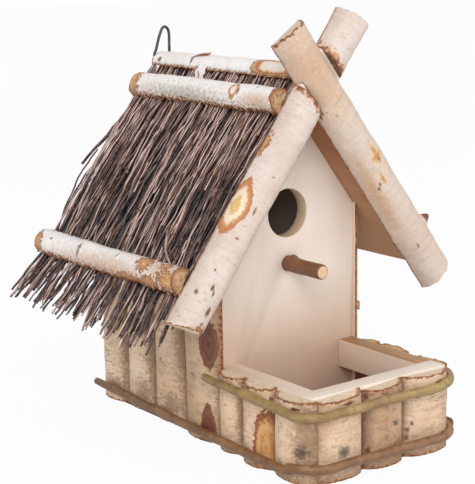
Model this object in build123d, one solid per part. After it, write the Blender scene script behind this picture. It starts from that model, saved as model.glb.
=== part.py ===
from build123d import *
import math
import os

# Rustic nest box with a feeding tray, in millimetres.
# The origin is on the ground below the entrance hole, in the front face of the front wall.
# +X points to the right of someone facing the front, +Y to the back and +Z up.

# House body
house_width = 112.0
house_depth = 137.5
shoulder_height = 148.0
wall_thickness = 10.0
base_thickness = 14.0
roof_pitch_deg = 53.0

# Entrance and perch
entrance_diameter = 32.0
entrance_height = 147.0
perch_diameter = 10.0
perch_drop = 33.6
perch_length = 35.0
perch_clearance = 0.1

# Feeding tray in front of the house
tray_depth = 89.0
rail_thickness = 13.0
rail_height = 19.0
tray_height = 54.0

# Half-round birch logs that clad the house and the tray
cladding_thickness = 9.0
cladding_gap = 0.6
cladding_roof_gap = 0.3
corner_reveal = 3.0
tray_cladding_drop = 1.0
corner_cladding_lap = 7.0
house_log_shares = (0.278, 0.251, 0.239, 0.232)
tray_side_log_shares = (0.25, 0.34, 0.41)
tray_front_log_shares = (0.35, 0.30, 0.35)

# Roof boards
roof_board_thickness = 8.0
eave_slope = 53.4
front_overhang = 28.0
back_overhang = 6.5

# Half-round bargeboards that cross at the gable
bargeboard_width = 26.0
bargeboard_thickness = 13.0
bargeboard_drop = 6.0
left_bargeboard_tail = 20.0
right_bargeboard_tail = 17.0
left_bargeboard_horn = 57.0
right_bargeboard_horn = 48.5
lap_clearance = 0.2

# Twig thatch
thatch_thickness = 8.0
bundle_pitch = 4.0
bundle_shoulder_share = 0.6
bundle_crown_share = 0.4
thatch_ridge_rise = 4.0
left_thatch_fringe = 42.0
right_thatch_fringe = 4.0
fringe_shares = (1.0, 0.86, 0.95, 0.78, 0.9, 0.7, 0.98, 0.82, 0.88, 0.74, 0.93)

# Half-round battens over the thatch and on the ridge
batten_width = 17.5
batten_thickness = 9.5
batten_front_gap = 7.0
upper_batten_setback = 3.0
lower_batten_overhang = 2.5
upper_batten_slope = 12.0
lower_batten_setback = 5.0

# Wire hanger at the back of the ridge
wire_diameter = 2.0
hanger_rise = 26.0
hanger_width = 13.0
hanger_offset = 4.0
hanger_tail = 6.0

# Withy bands round the tray and the house
withy_diameter = 6.0
withy_gap = 0.2
left_withy_bend_radius = 18.0
right_withy_bend_radius = 28.0
upper_withy_height = 46.0
lower_withy_height = 11.0
upper_withy_lap = 2.0
lower_withy_setback = 2.5

# One overrun serves every cut
overrun = 5.0

half_width = house_width / 2
perch_height = entrance_height - perch_drop
pitch = math.radians(roof_pitch_deg)
slope_run = math.cos(pitch)
slope_fall = math.sin(pitch)
apex_height = shoulder_height + half_width * math.tan(pitch)
ridge_height = apex_height + roof_board_thickness / slope_run
shoulder_slope = half_width / slope_run
eave_distance = shoulder_slope + eave_slope
lower_batten_slope = eave_distance - lower_batten_setback
roof_front = -front_overhang
roof_back = house_depth + back_overhang
roof_length = roof_back - roof_front
thatch_base = roof_board_thickness
batten_base = roof_board_thickness + thatch_thickness
batten_front = roof_front + batten_front_gap
upper_batten_back = roof_back - upper_batten_setback
lower_batten_back = roof_back + lower_batten_overhang
tray_front = -tray_depth
rail_bottom = tray_height - rail_height


def slope_point(distance, offset):
    """X and Z of a point on the right slope, down from the apex and out from the roof's underside."""
    x = distance * slope_run + offset * slope_fall
    z = apex_height - distance * slope_fall + offset * slope_run
    return x, z


def mirrored(shape):
    """The same piece on the left side of the house."""
    return mirror(shape, about=Plane.YZ)


def board(x_range, y_range, z_range):
    """Square-edged board between two opposite corners."""
    corner = Pos(x_range[0], y_range[0], z_range[0])
    size = Box(x_range[1] - x_range[0], y_range[1] - y_range[0], z_range[1] - z_range[0],
               align=(Align.MIN, Align.MIN, Align.MIN))
    return corner * size


def half_round(width, thickness, length):
    """Half-round pole along +Z, with its flat side on the XZ plane and its bark towards +Y."""
    keep = Rectangle(width, thickness, align=(Align.CENTER, Align.MIN))
    section = Ellipse(width / 2, thickness) & keep
    return extrude(section, length)


def gable(y_front):
    """Gable-shaped wall that stands on the base board."""
    outline = Polyline(
        (-half_width, base_thickness), (half_width, base_thickness), (half_width, shoulder_height),
        (0, apex_height), (-half_width, shoulder_height), close=True)
    return extrude(Plane.XZ.offset(-y_front) * make_face(outline), wall_thickness, dir=(0, 1, 0))


def across(y_start, length, radius, height):
    """Round bar or cutter along +Y at a height over the middle of the house."""
    along_y = Plane(origin=(0, y_start, height), x_dir=(1, 0, 0), z_dir=(0, 1, 0))
    return along_y * extrude(Circle(radius), length)


def front_wall():
    """Front gable with the round entrance and the hole that the perch is driven into."""
    start = -overrun
    length = wall_thickness + 2 * overrun
    entrance = across(start, length, entrance_diameter / 2, entrance_height)
    socket = across(start, length, perch_diameter / 2 + perch_clearance, perch_height)
    return gable(0) - entrance - socket


def perch():
    """Round twig that runs through the front wall."""
    return across(-perch_length, perch_length + wall_thickness, perch_diameter / 2, perch_height)


def side_board():
    """Right side board between the gables, bevelled under the roof."""
    inner = half_width - wall_thickness
    inner_top = shoulder_height + wall_thickness * math.tan(pitch)
    outline = Polyline(
        (inner, base_thickness), (half_width, base_thickness), (half_width, shoulder_height),
        (inner, inner_top), close=True)
    length = house_depth - 2 * wall_thickness
    return extrude(Plane.XZ.offset(-wall_thickness) * make_face(outline), length, dir=(0, 1, 0))


def spans(start, end, shares):
    """Cut a stretch into neighbouring spans by their shares."""
    total = sum(shares)
    position = start
    cut = []
    for share in shares:
        step = (end - start) * share / total
        cut.append((position, position + step))
        position += step
    return cut


def standing_log(face_x, y_range, height):
    """Half-round log that stands against a plane of constant X on the right side."""
    width = abs(y_range[1] - y_range[0]) - cladding_gap
    middle = (y_range[0] + y_range[1]) / 2
    place = Plane(origin=(face_x, middle, 0), x_dir=(0, -1, 0), z_dir=(0, 0, 1))
    return place * half_round(width, cladding_thickness, height)


def roof_clearance_cutter():
    """Everything above the right roof board's underside, less the gap that the logs keep."""
    x, z = slope_point(0, -cladding_roof_gap)
    reach = eave_distance + overrun
    place = Plane(origin=(x, roof_front - overrun, z), x_dir=(slope_run, 0, -slope_fall),
                  z_dir=(slope_fall, 0, slope_run))
    cutter = Box(reach, roof_length + 2 * overrun, reach, align=(Align.MIN, Align.MIN, Align.MIN))
    return place * cutter


def house_logs():
    """Logs on the right side of the house, from the front corner to the back."""
    cutter = roof_clearance_cutter()
    stretches = spans(-corner_reveal, house_depth, house_log_shares)
    return [standing_log(half_width, stretch, shoulder_height) - cutter for stretch in stretches]


def tray_side_logs(end):
    """Short logs on the right side of the tray, from the house corner to the front."""
    stretches = spans(-corner_reveal, end, tray_side_log_shares)
    return [standing_log(half_width, stretch, tray_height - tray_cladding_drop) for stretch in stretches]


def tray_front_logs():
    """Short logs across the front of the tray, from left to right."""
    height = tray_height - tray_cladding_drop
    logs = []
    for start, end in spans(-half_width, half_width, tray_front_log_shares):
        place = Plane(origin=((start + end) / 2, tray_front, 0), x_dir=(-1, 0, 0), z_dir=(0, 0, 1))
        logs.append(place * half_round(end - start - cladding_gap, cladding_thickness, height))
    return logs


def roof_board():
    """Right roof board, mitred at the ridge."""
    inner_eave = slope_point(eave_distance, 0)
    outer_eave = slope_point(eave_distance, roof_board_thickness)
    outline = Polyline((0, apex_height), inner_eave, outer_eave, (0, ridge_height), close=True)
    return extrude(Plane.XZ.offset(-roof_front) * make_face(outline), roof_length, dir=(0, 1, 0))


def bargeboard(horn, tail):
    """Half-round bargeboard on the right slope, from its horn above the apex to its lower end."""
    x, z = slope_point(-horn, bargeboard_width / 2 - bargeboard_drop)
    place = Plane(origin=(x, roof_front, z), x_dir=(slope_fall, 0, slope_run),
                  z_dir=(slope_run, 0, -slope_fall))
    return place * half_round(bargeboard_width, bargeboard_thickness, horn + eave_distance + tail)


def lap_cutter(y_range):
    """Channel along the right bargeboard, used to halve the crossing at the gable."""
    length = bargeboard_width + 2 * lap_clearance
    horn = left_bargeboard_horn + right_bargeboard_horn
    x, z = slope_point(-horn, bargeboard_width / 2 - bargeboard_drop)
    place = Plane(origin=(x, y_range[0], z), x_dir=(slope_fall, 0, slope_run), z_dir=(0, 1, 0))
    channel = Box(length, 2 * horn, y_range[1] - y_range[0], align=(Align.CENTER, Align.MIN, Align.MIN))
    return place * channel


def crossed_bargeboards():
    """Both bargeboards, halved where they cross so that the right one runs on in front."""
    lap = roof_front - bargeboard_thickness / 2
    front_channel = lap_cutter((roof_front - bargeboard_thickness - overrun, lap + lap_clearance / 2))
    back_channel = lap_cutter((lap - lap_clearance / 2, roof_front + overrun))
    right = bargeboard(right_bargeboard_horn, right_bargeboard_tail) - mirrored(back_channel)
    left = mirrored(bargeboard(left_bargeboard_horn, left_bargeboard_tail)) - front_channel
    return left, right


def twig_bundle(y_start, width, top, bottom):
    """One bundle of twigs down the right slope, with bevelled shoulders and a flat crown."""
    x, z = slope_point(top, thatch_base)
    place = Plane(origin=(x, y_start, z), x_dir=(0, 1, 0), z_dir=(slope_run, 0, -slope_fall))
    shoulder = thatch_thickness * bundle_shoulder_share
    bevel = width * (1 - bundle_crown_share) / 2
    outline = Polyline(
        (0, 0), (width, 0), (width, shoulder), (width - bevel, thatch_thickness),
        (bevel, thatch_thickness), (0, shoulder), close=True)
    return place * extrude(make_face(outline), bottom - top)


def thatch(fringe):
    """Mat of twig bundles on the right slope, with a ragged fringe past the eave."""
    count = max(1, round(roof_length / bundle_pitch))
    width = roof_length / count
    bundles = []
    for index in range(count):
        share = fringe_shares[index % len(fringe_shares)]
        bottom = eave_distance + fringe * share
        bundles.append(twig_bundle(roof_front + index * width, width, -thatch_ridge_rise, bottom))
    return bundles[0].fuse(*bundles[1:])


def batten(slope, back):
    """Half-round batten on the right slope, on top of the thatch."""
    x, z = slope_point(slope, batten_base)
    place = Plane(origin=(x, batten_front, z), x_dir=(-slope_run, 0, slope_fall), z_dir=(0, 1, 0))
    return place * half_round(batten_width, batten_thickness, back - batten_front)


def ridge_batten(back):
    """Half-round batten that lies flat on the ridge of the roof boards, between the tops of the thatch."""
    place = Plane(origin=(0, batten_front, ridge_height), x_dir=(-1, 0, 0), z_dir=(0, 1, 0))
    return place * half_round(batten_width, batten_thickness, back - batten_front)


def wire_hanger():
    """Wire loop over the ridge, fixed behind both roof boards."""
    left = -hanger_offset
    right = left + hanger_width
    foot = apex_height - hanger_tail
    bend = hanger_width / 2
    spring = ridge_height + hanger_rise - bend
    path = Line((left, foot), (left, spring))
    path += CenterArc((left + bend, spring), bend, 180, -180)
    path += Line((right, spring), (right, foot))
    path = Plane.XZ.offset(-(roof_back + wire_diameter / 2)) * path
    section = Plane(origin=path @ 0, z_dir=path % 0) * Circle(wire_diameter / 2)
    return sweep(section, path)


def withy_band(height, back):
    """Withy rod bent round three sides, nailed against the crowns of the logs."""
    offset = cladding_thickness + withy_diameter / 2 + withy_gap
    side = half_width + offset
    front = tray_front - offset
    path = FilletPolyline(
        (-side, back, height), (-side, front, height), (side, front, height), (side, back, height),
        radius=[left_withy_bend_radius, right_withy_bend_radius])
    section = Plane(origin=path @ 0, z_dir=path % 0) * Circle(withy_diameter / 2)
    return sweep(section, path)


def build():
    """All pieces of the nest box by name."""
    side_range = (half_width - rail_thickness, half_width)
    side_rail = board(side_range, (tray_front + rail_thickness, 0), (rail_bottom, tray_height))
    front_range = (tray_front, tray_front + rail_thickness)
    upper_batten = batten(upper_batten_slope, upper_batten_back)
    lower_batten = batten(lower_batten_slope, lower_batten_back)
    left_bargeboard, right_bargeboard = crossed_bargeboards()
    pieces = {
        "base_board": board((-half_width, half_width), (tray_front, house_depth), (0, base_thickness)),
        "front_wall": front_wall(),
        "back_wall": gable(house_depth - wall_thickness),
        "left_side_board": mirrored(side_board()),
        "right_side_board": side_board(),
        "perch": perch(),
        "tray_left_rail": mirrored(side_rail),
        "tray_front_rail": board((-half_width, half_width), front_range, (rail_bottom, tray_height)),
        "tray_right_rail": side_rail,
        "left_roof_board": mirrored(roof_board()),
        "right_roof_board": roof_board(),
        "left_bargeboard": left_bargeboard,
        "right_bargeboard": right_bargeboard,
        "left_thatch": mirrored(thatch(left_thatch_fringe)),
        "right_thatch": thatch(right_thatch_fringe),
        "left_upper_batten": mirrored(upper_batten),
        "left_lower_batten": mirrored(lower_batten),
        "right_upper_batten": upper_batten,
        "right_lower_batten": lower_batten,
        "ridge_batten": ridge_batten(upper_batten_back),
        "wire_hanger": wire_hanger(),
        "upper_withy_band": withy_band(upper_withy_height, upper_withy_lap),
        "lower_withy_band": withy_band(lower_withy_height, house_depth - lower_withy_setback),
    }
    for number, log in enumerate(house_logs(), start=1):
        pieces[f"left_log_{number}"] = mirrored(log)
        pieces[f"right_log_{number}"] = log
    for number, log in enumerate(tray_side_logs(tray_front - corner_cladding_lap), start=1):
        pieces[f"tray_left_log_{number}"] = mirrored(log)
    for number, log in enumerate(tray_side_logs(tray_front), start=1):
        pieces[f"tray_right_log_{number}"] = log
    for number, log in enumerate(tray_front_logs(), start=1):
        pieces[f"tray_front_log_{number}"] = log
    return pieces


def export(pieces):
    """Write each piece to a file of its own."""
    os.makedirs("parts", exist_ok=True)
    for name, shape in pieces.items():
        export_step(shape, f"parts/{name}.step")


export(build())
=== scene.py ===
"""Looks of a rustic birch nest box: bark, cut wood, twigs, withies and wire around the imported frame.

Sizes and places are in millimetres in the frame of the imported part. Meshes are scaled to metres when they are made.
"""

import logging
import math
from dataclasses import dataclass, field, replace
from enum import Enum
from typing import Any

import bmesh
import bpy
import numpy as np
from mathutils import Matrix, Vector, noise


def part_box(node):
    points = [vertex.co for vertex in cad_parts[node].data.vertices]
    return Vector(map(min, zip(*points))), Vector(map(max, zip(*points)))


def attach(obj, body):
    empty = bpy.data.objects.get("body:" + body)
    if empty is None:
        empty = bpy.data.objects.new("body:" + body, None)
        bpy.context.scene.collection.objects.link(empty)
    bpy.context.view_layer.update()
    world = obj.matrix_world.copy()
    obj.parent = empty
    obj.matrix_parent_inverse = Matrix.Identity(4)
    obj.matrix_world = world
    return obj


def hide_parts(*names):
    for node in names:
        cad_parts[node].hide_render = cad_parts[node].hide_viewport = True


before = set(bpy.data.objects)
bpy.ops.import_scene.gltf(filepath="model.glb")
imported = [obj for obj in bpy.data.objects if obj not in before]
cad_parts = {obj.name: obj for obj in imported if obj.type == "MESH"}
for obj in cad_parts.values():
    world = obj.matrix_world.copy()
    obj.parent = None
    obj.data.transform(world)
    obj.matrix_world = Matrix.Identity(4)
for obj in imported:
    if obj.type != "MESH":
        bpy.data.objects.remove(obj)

LOG = logging.getLogger("nest_box")
MM = 0.001
BODY = "root"

ROOF_PITCH_DEG = 53.0
ROOF_BOARD_THICKNESS = 8.0
THATCH_THICKNESS = 8.0
NO_BLEMISH = 9.0
LOG_SHARP_DEG = 42.0
ROD_SHARP_DEG = 60.0
SAW_MARK_SIZE = 2.5
SAW_MARK_DEPTH = 0.15
ENTRANCE_HEIGHT = 147.0
ENTRANCE_RADIUS = 16.0

Material = bpy.types.Material
Node = bpy.types.Node
Socket = bpy.types.NodeSocket
Piece = bpy.types.Object

UP = Vector((0.0, 0.0, 1.0))
BACK = Vector((0.0, 1.0, 0.0))
RIGHT = Vector((1.0, 0.0, 0.0))


class Side(Enum):
    """Side of the house, seen from the front."""

    LEFT = -1
    RIGHT = 1


class Mark(Enum):
    """Kinds of blemish on bark; the value is the name of the attribute that holds its field."""

    # Brown laid mostly as painted shade on log flanks and feet, partly as weathering.
    WEATHER = "weather"
    STAIN = "stain"
    SCAR = "scar"
    PEEL = "peel"
    RING = "ring"
    BURR = "burr"
    KNOT = "knot"
    RESIN = "resin"
    # Warm tint: real blush on some poles, painted shade on the flanks of others.
    BLUSH = "blush"
    MOSS = "moss"
    WINDOW = "window"

    def __call__(self, *sizes: float) -> "Blemish":
        """Blemish of this kind; the sizes are the blemish's own, in its order."""
        return Blemish(self, *sizes)


# How ragged each kind of blemish is, and its tints from the middle to the rim as (place, colour, cover), in the
# order in which they are laid on the bark.
MARK_TINTS = {
    Mark.BLUSH: (1.2, [(0.0, "#c0956f", 0.75), (0.55, "#c9a380", 0.5), (1.0, "#d6b89c", 0.0)]),
    Mark.WEATHER: (1.5, [(0.0, "#86684f", 0.75), (0.5, "#8f6f56", 0.6), (0.8, "#a3836a", 0.3), (1.0, "#b89a80", 0.0)]),
    Mark.STAIN: (1.3, [(0.0, "#35302a", 0.9), (0.45, "#4d463a", 0.75), (0.75, "#77664f", 0.25),
        (1.0, "#8a7460", 0.0)]),
    Mark.RESIN: (1.0, [(0.0, "#b98540"), (0.5, "#c6964f", 0.9), (1.0, "#d9b98a", 0.0)]),
    Mark.SCAR: (0.7, [(0.0, "#42291f"), (0.55, "#6d452f", 0.9), (0.9, "#a87b52", 0.35), (1.0, "#c09a70", 0.0)]),
    Mark.MOSS: (2.4, [(0.0, "#8a7c66", 0.6), (0.5, "#a1937c", 0.4), (1.0, "#c4b9a4", 0.0)]),
    Mark.PEEL: (2.2, [(0.0, "#dfb98a"), (0.1, "#b87f4c"), (0.2, "#d8ae7c"), (0.3, "#ae7545"), (0.4, "#d2a472"),
        (0.52, "#b57b4a"), (0.64, "#c99865"), (0.75, "#85482c"), (0.9, "#935836", 0.9), (1.0, "#c8a281", 0.0)]),
    Mark.WINDOW: (0.45, [(0.0, "#f2e9e2"), (0.5, "#ead9c8"), (0.6, "#c98d5a"), (0.7, "#a8623a"), (0.8, "#d9b48a"),
        (0.9, "#8a5535"), (1.0, "#c9a27c", 0.0)]),
    Mark.RING: (0.4, [(0.0, "#c99a4e"), (0.14, "#dcb878"), (0.26, "#cda468"), (0.4, "#e6d3ba"), (0.6, "#e2caac"),
        (0.68, "#c48c5c"), (0.84, "#b4713f"), (0.95, "#ab6d42", 0.9), (1.0, "#d9b995", 0.0)]),
    Mark.BURR: (0.6, [(0.0, "#be8445"), (0.2, "#d3a267"), (0.36, "#bb8248"), (0.54, "#d6aa72"), (0.68, "#c48f58"),
        (0.77, "#9c5a35"), (0.88, "#824228"), (0.96, "#a87048", 0.8), (1.0, "#d9b995", 0.0)]),
    Mark.KNOT: (0.5, [(0.0, "#4f2a1f"), (0.25, "#7a4733"), (0.5, "#693b2a"), (0.78, "#86523a"), (0.88, "#5d3323"),
        (0.96, "#a87a52", 0.6), (1.0, "#d9b995", 0.0)]),
}


def linear(colour: str) -> tuple[float, float, float, float]:
    """Turn an sRGB hex colour into linear RGBA.

    Args:
        colour: Hex colour such as "#d4b8a3".

    Returns:
        Linear red, green, blue and an alpha of one.
    """
    channels = [int(colour[start:start + 2], 16) / 255 for start in (1, 3, 5)]
    straight = [c / 12.92 if c <= 0.04045 else ((c + 0.055) / 1.055) ** 2.4 for c in channels]
    return (*straight, 1.0)


def add_node(tree: bpy.types.NodeTree, kind: str, inputs: dict | None = None, ramp: list | None = None,
             **settings: Any) -> Node:
    """Add a node with its settings, and fill its inputs with values or links.

    Args:
        tree: Node tree that takes the node.
        kind: Type name of the node and, after a dot, its operation; a plain name such as Math is a shader node's.
        inputs: Values, sockets or nodes by input name or index; a node gives its first output.
        ramp: Stops of a colour ramp as (position, hex colour, alpha); an alpha of one is left out.
        **settings: Properties of the node.

    Returns:
        The new node.
    """
    kind, _, operation = kind.partition(".")
    node = tree.nodes.new(kind if "Node" in kind else f"ShaderNode{kind}")
    if operation:
        node.operation = operation
    for name, value in settings.items():
        setattr(node, name, value)
    for key, value in (inputs or {}).items():
        if isinstance(value, Node):
            value = value.outputs[0]
        if isinstance(value, Socket):
            tree.links.new(value, node.inputs[key])
        else:
            node.inputs[key].default_value = value
    if ramp:
        stops = node.color_ramp.elements
        while len(stops) < len(ramp):
            stops.new(1.0)
        for stop, (position, colour, *alpha) in zip(stops, ramp):
            stop.position = position
            stop.color = (*linear(colour)[:3], *(alpha or [1.0]))
    return node


class Paint:
    """Node material while it is mixed."""

    def __init__(self, name: str) -> None:
        """Start the material.

        Args:
            name: Name of the finish.
        """
        self.material = bpy.data.materials.new(name)
        self.material.use_nodes = True
        self.tree = self.material.node_tree
        self.shader = self.tree.nodes["Principled BSDF"]

    def add(self, kind: str, inputs: dict | None = None, **settings: Any) -> Node:
        """Add a node to the material, as add_node does."""
        return add_node(self.tree, kind, inputs, **settings)

    def overlay(self, base: Any, coats: list[tuple[Any, Any]]) -> Socket:
        """Lay coats of colour over a base.

        Args:
            base: Colour of the base.
            coats: Cover and colour of each coat, in order.

        Returns:
            The mixed colour.
        """
        for cover, colour in coats:
            base = self.add("Mix", {0: cover, 6: base, 7: colour}, data_type="RGBA").outputs[2]
        return base

    def finish(self, colour: Socket, roughness: float, height: Any = None, strength: float = 0.5,
               depth: float = 0.3) -> Material:
        """Give the shader its colour, roughness and relief.

        Args:
            colour: Mixed colour.
            roughness: Roughness of the surface.
            height: Field of the relief, or nothing for a smooth surface.
            strength: Share of the relief that shows.
            depth: Depth of the relief in millimetres.

        Returns:
            The finished material.
        """
        self.tree.links.new(colour, self.shader.inputs["Base Color"])
        self.shader.inputs["Roughness"].default_value = roughness
        if height is not None:
            relief = self.add("Bump", {"Height": height, "Strength": strength, "Distance": depth * MM})
            self.tree.links.new(relief.outputs["Normal"], self.shader.inputs["Normal"])
        return self.material


@dataclass(frozen=True)
class BirchBark:
    """Birch bark, dried and left on the split log: papery and pale, with dark pores across the trunk.

    The eye gets a matt, warm white skin with tan clouds, short dark dashes, rust-brown inner bark at its torn edges,
    eye-shaped knots with rings, and patches where the skin has peeled.
    """

    name: str
    pale: str
    warm: str
    shade: str
    pore: str = "#6e5648"
    inner: str = "#b9814e"
    rim: str = "#7a4a30"
    soil: str = "#80603f"
    cloud_size: float = 24.0
    band_height: float = 3.2
    pore_height: float = 0.9
    pore_width: float = 5.0
    pore_share: float = 0.7
    blotched: float = 0.12
    roughness: float = 0.62

    def build(self) -> Material:
        """Build the bark from the place and blemish fields that a log's mesh carries.

        Returns:
            The material.
        """
        paint = Paint(self.name)
        place = paint.add("Attribute", attribute_name="bark_place").outputs["Vector"]
        sizes = {
            "cloud": (1 / self.cloud_size, 0.6 / self.cloud_size, 1.0),
            "band": (0.02, 1 / self.band_height, 1.0),
            "pore": (1 / self.pore_width, 1 / self.pore_height, 1.0),
            "patch": (0.05, 0.06, 1.0),
            "tear": (0.45, 0.45, 1.0),
            "dust": (1.1, 1.1, 1.0),
            "blot": (0.16, 0.26, 1.0),
        }
        fields = {}
        for key, size in sizes.items():
            scaled = paint.add("Mapping", {"Vector": place, "Scale": size})
            detail = 3.0 if key in ("cloud", "tear", "dust", "blot") else 1.0
            fields[key] = paint.add("TexNoise", {"Vector": scaled, "Scale": 1.0, "Detail": detail})

        cloud = paint.add("ValToRGB", {0: fields["cloud"]}, ramp=[(0.34, self.pale), (0.66, self.warm)])
        band = paint.add("ValToRGB", {0: fields["band"]}, ramp=[(0.5, self.shade, 0), (0.8, self.shade, 0.3)])
        dust = paint.add("ValToRGB", {0: fields["dust"]}, ramp=[(0.52, self.shade, 0), (0.78, self.shade, 0.55)])
        blot = paint.add("MapRange", {0: fields["blot"], 1: 0.52, 2: 0.7, 4: self.blotched})
        patch = paint.add("MapRange", {0: fields["patch"], 1: 0.46, 2: 0.62})
        dash = paint.add("MapRange", {0: fields["pore"], 1: 0.6, 2: 0.68, 4: self.pore_share})
        pore = paint.add("Math.MULTIPLY", {0: patch, 1: dash})
        coats = [(band.outputs["Alpha"], band), (dust.outputs["Alpha"], dust), (blot, linear(self.soil)),
                 (pore, linear(self.pore))]

        tear = paint.add("Math.SUBTRACT", {0: fields["tear"], 1: 0.5})
        rims = {mark.value: tint for mark, tint in MARK_TINTS.items()}
        # Painted shade on the flanks, darkest at the flat back where the logs meet, in the tint colour.
        rims["bark_joint"] = (0.7, [(0.0, self.soil, 0.8), (0.4, self.soil, 0.5), (1.0, self.soil, 0.0)])
        for attribute, (ragged, ramp) in rims.items():
            reach = paint.add("Attribute", attribute_name=attribute).outputs["Fac"]
            torn = paint.add("Math.MULTIPLY_ADD", {0: tear, 1: ragged, 2: reach})
            tint = paint.add("ValToRGB", {0: torn}, ramp=ramp)
            coats.append((tint.outputs["Alpha"], tint))
        edge = paint.add("Attribute", attribute_name="bark_edge").outputs["Fac"]
        frayed = paint.add("Math.MULTIPLY_ADD", {0: tear, 1: 5.5, 2: edge})
        shrunk = paint.add("Math.MULTIPLY", {0: frayed, 1: 0.25})
        rind = paint.add("ValToRGB", {0: shrunk}, ramp=[(0.0, self.rim), (0.12, self.rim, 0.95),
                                                        (0.25, self.inner, 0.85), (0.42, self.inner, 0.0)])
        coats.append((rind.outputs["Alpha"], rind))

        # Blemishes and the torn rim lie lower than the skin; the painted shade on the flanks doesn't.
        sunk = [cover for cover, _ in coats[-len(rims) - 1:-2] + coats[-1:]]
        height = paint.add("Math.MULTIPLY_ADD", {0: fields["band"], 1: 0.25, 2: fields["dust"]})
        for cover in sunk:
            height = paint.add("Math.MULTIPLY_ADD", {0: cover, 1: -0.8, 2: height})
        return paint.finish(paint.overlay(cloud, coats), self.roughness, height, 0.55, 0.35)


@dataclass(frozen=True)
class CutEnd:
    """Sawn end of a log or twig: bark in section, then pale wood with faint rings.

    The eye gets a thin dark skin, a rust-brown line under it and matt, fuzzy, pale end grain.
    """

    name: str
    wood: str
    ring: str
    skin: str = "#6b4a37"
    inner: str = "#b27b49"
    ring_width: float = 1.7
    ring_share: float = 0.3
    rind: float = 1.0
    rotted: float = 0.1
    roughness: float = 0.8

    def build(self) -> Material:
        """Build the end grain from the depth and radius that a cap's mesh carries.

        Returns:
            The material.
        """
        paint = Paint(self.name)
        depth = paint.add("Attribute", attribute_name="cut_depth").outputs["Fac"]
        radius = paint.add("Attribute", attribute_name="cut_radius").outputs["Fac"]
        place = paint.add("TexCoord").outputs["Object"]
        blotch = paint.add("TexNoise", {"Vector": place, "Scale": 0.35 / MM, "Detail": 3.0})
        waver = paint.add("Math.MULTIPLY_ADD", {0: blotch, 1: 1.6, 2: radius})
        turn = paint.add("Math.MULTIPLY", {0: waver, 1: math.tau / self.ring_width})
        wave = paint.add("Math.SINE", {0: turn})
        rings = paint.add("MapRange", {0: wave, 1: 0.0, 2: 1.0, 4: self.ring_share})
        rot = paint.add("MapRange", {0: blotch, 1: 0.48, 2: 0.66, 4: self.rotted})
        frayed = paint.add("Math.MULTIPLY_ADD", {0: blotch, 1: 1.6 * self.rind, 2: depth})
        shrunk = paint.add("Math.MULTIPLY", {0: frayed, 1: 0.2 / self.rind})
        rind = paint.add("ValToRGB", {0: shrunk}, ramp=[(0.16, self.skin), (0.24, self.inner),
                                                        (0.42, self.inner, 0.7), (0.56, self.wood, 0.0)])
        colour = paint.overlay(linear(self.wood), [(rings, linear(self.ring)), (rot, linear(self.skin)),
                                                   (rind.outputs["Alpha"], rind)])
        fuzz = paint.add("TexNoise", {"Vector": place, "Scale": 1.1 / MM, "Detail": 2.0})
        return paint.finish(colour, self.roughness, fuzz)


@dataclass(frozen=True)
class PlanedBoard:
    """Planed softwood board, left raw: pale, satin, with soft bands and fine fibres along the grain.

    The eye gets a creamy, even face; the fibres are drawn about 1.4 mm wide, coarser than real ones, so that they show.
    """

    name: str
    pale: str
    warm: str
    grain: tuple[float, float, float]
    fibre_width: float = 1.4
    fibre_length: float = 45.0
    band_width: float = 13.0
    soil: str = "#bf9671"
    soil_low: float = 50.0
    soil_high: float = 0.0
    roughness: float = 0.58

    def build(self) -> Material:
        """Build the board's face with its grain along the given axis.

        Returns:
            The material.
        """
        paint = Paint(self.name)
        place = paint.add("TexCoord").outputs["Object"]
        fields = []
        for width, length in ((self.band_width, self.band_width * 9), (self.fibre_width, self.fibre_length)):
            size = tuple((axis / length + (1 - axis) / width) / MM for axis in self.grain)
            scaled = paint.add("Mapping", {"Vector": place, "Scale": size})
            fields.append(paint.add("TexNoise", {"Vector": scaled, "Scale": 1.0, "Detail": 2.0, "Distortion": 0.3}))
        band = paint.add("MapRange", {0: fields[0], 1: 0.36, 2: 0.68})
        fibre = paint.add("MapRange", {0: fields[1], 1: 0.45, 2: 0.75, 4: 0.5})
        streak = paint.add("Math.MULTIPLY_ADD", {0: band, 1: 0.55, 2: fibre}, use_clamp=True)
        coats = [(streak, linear(self.warm))]
        # A tint towards the bottom, between two heights: painted light towards the eave on the roof boards, a darker
        # foot on the gable.
        if self.soil_high:
            height = paint.add("SeparateXYZ", {0: place}).outputs["Z"]
            foot = paint.add("MapRange", {0: height, 1: self.soil_low * MM, 2: self.soil_high * MM, 3: 0.65, 4: 0.0})
            coats.append((foot, linear(self.soil)))
        return paint.finish(paint.overlay(linear(self.pale), coats), self.roughness, fields[1], 0.25, 0.2)


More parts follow.
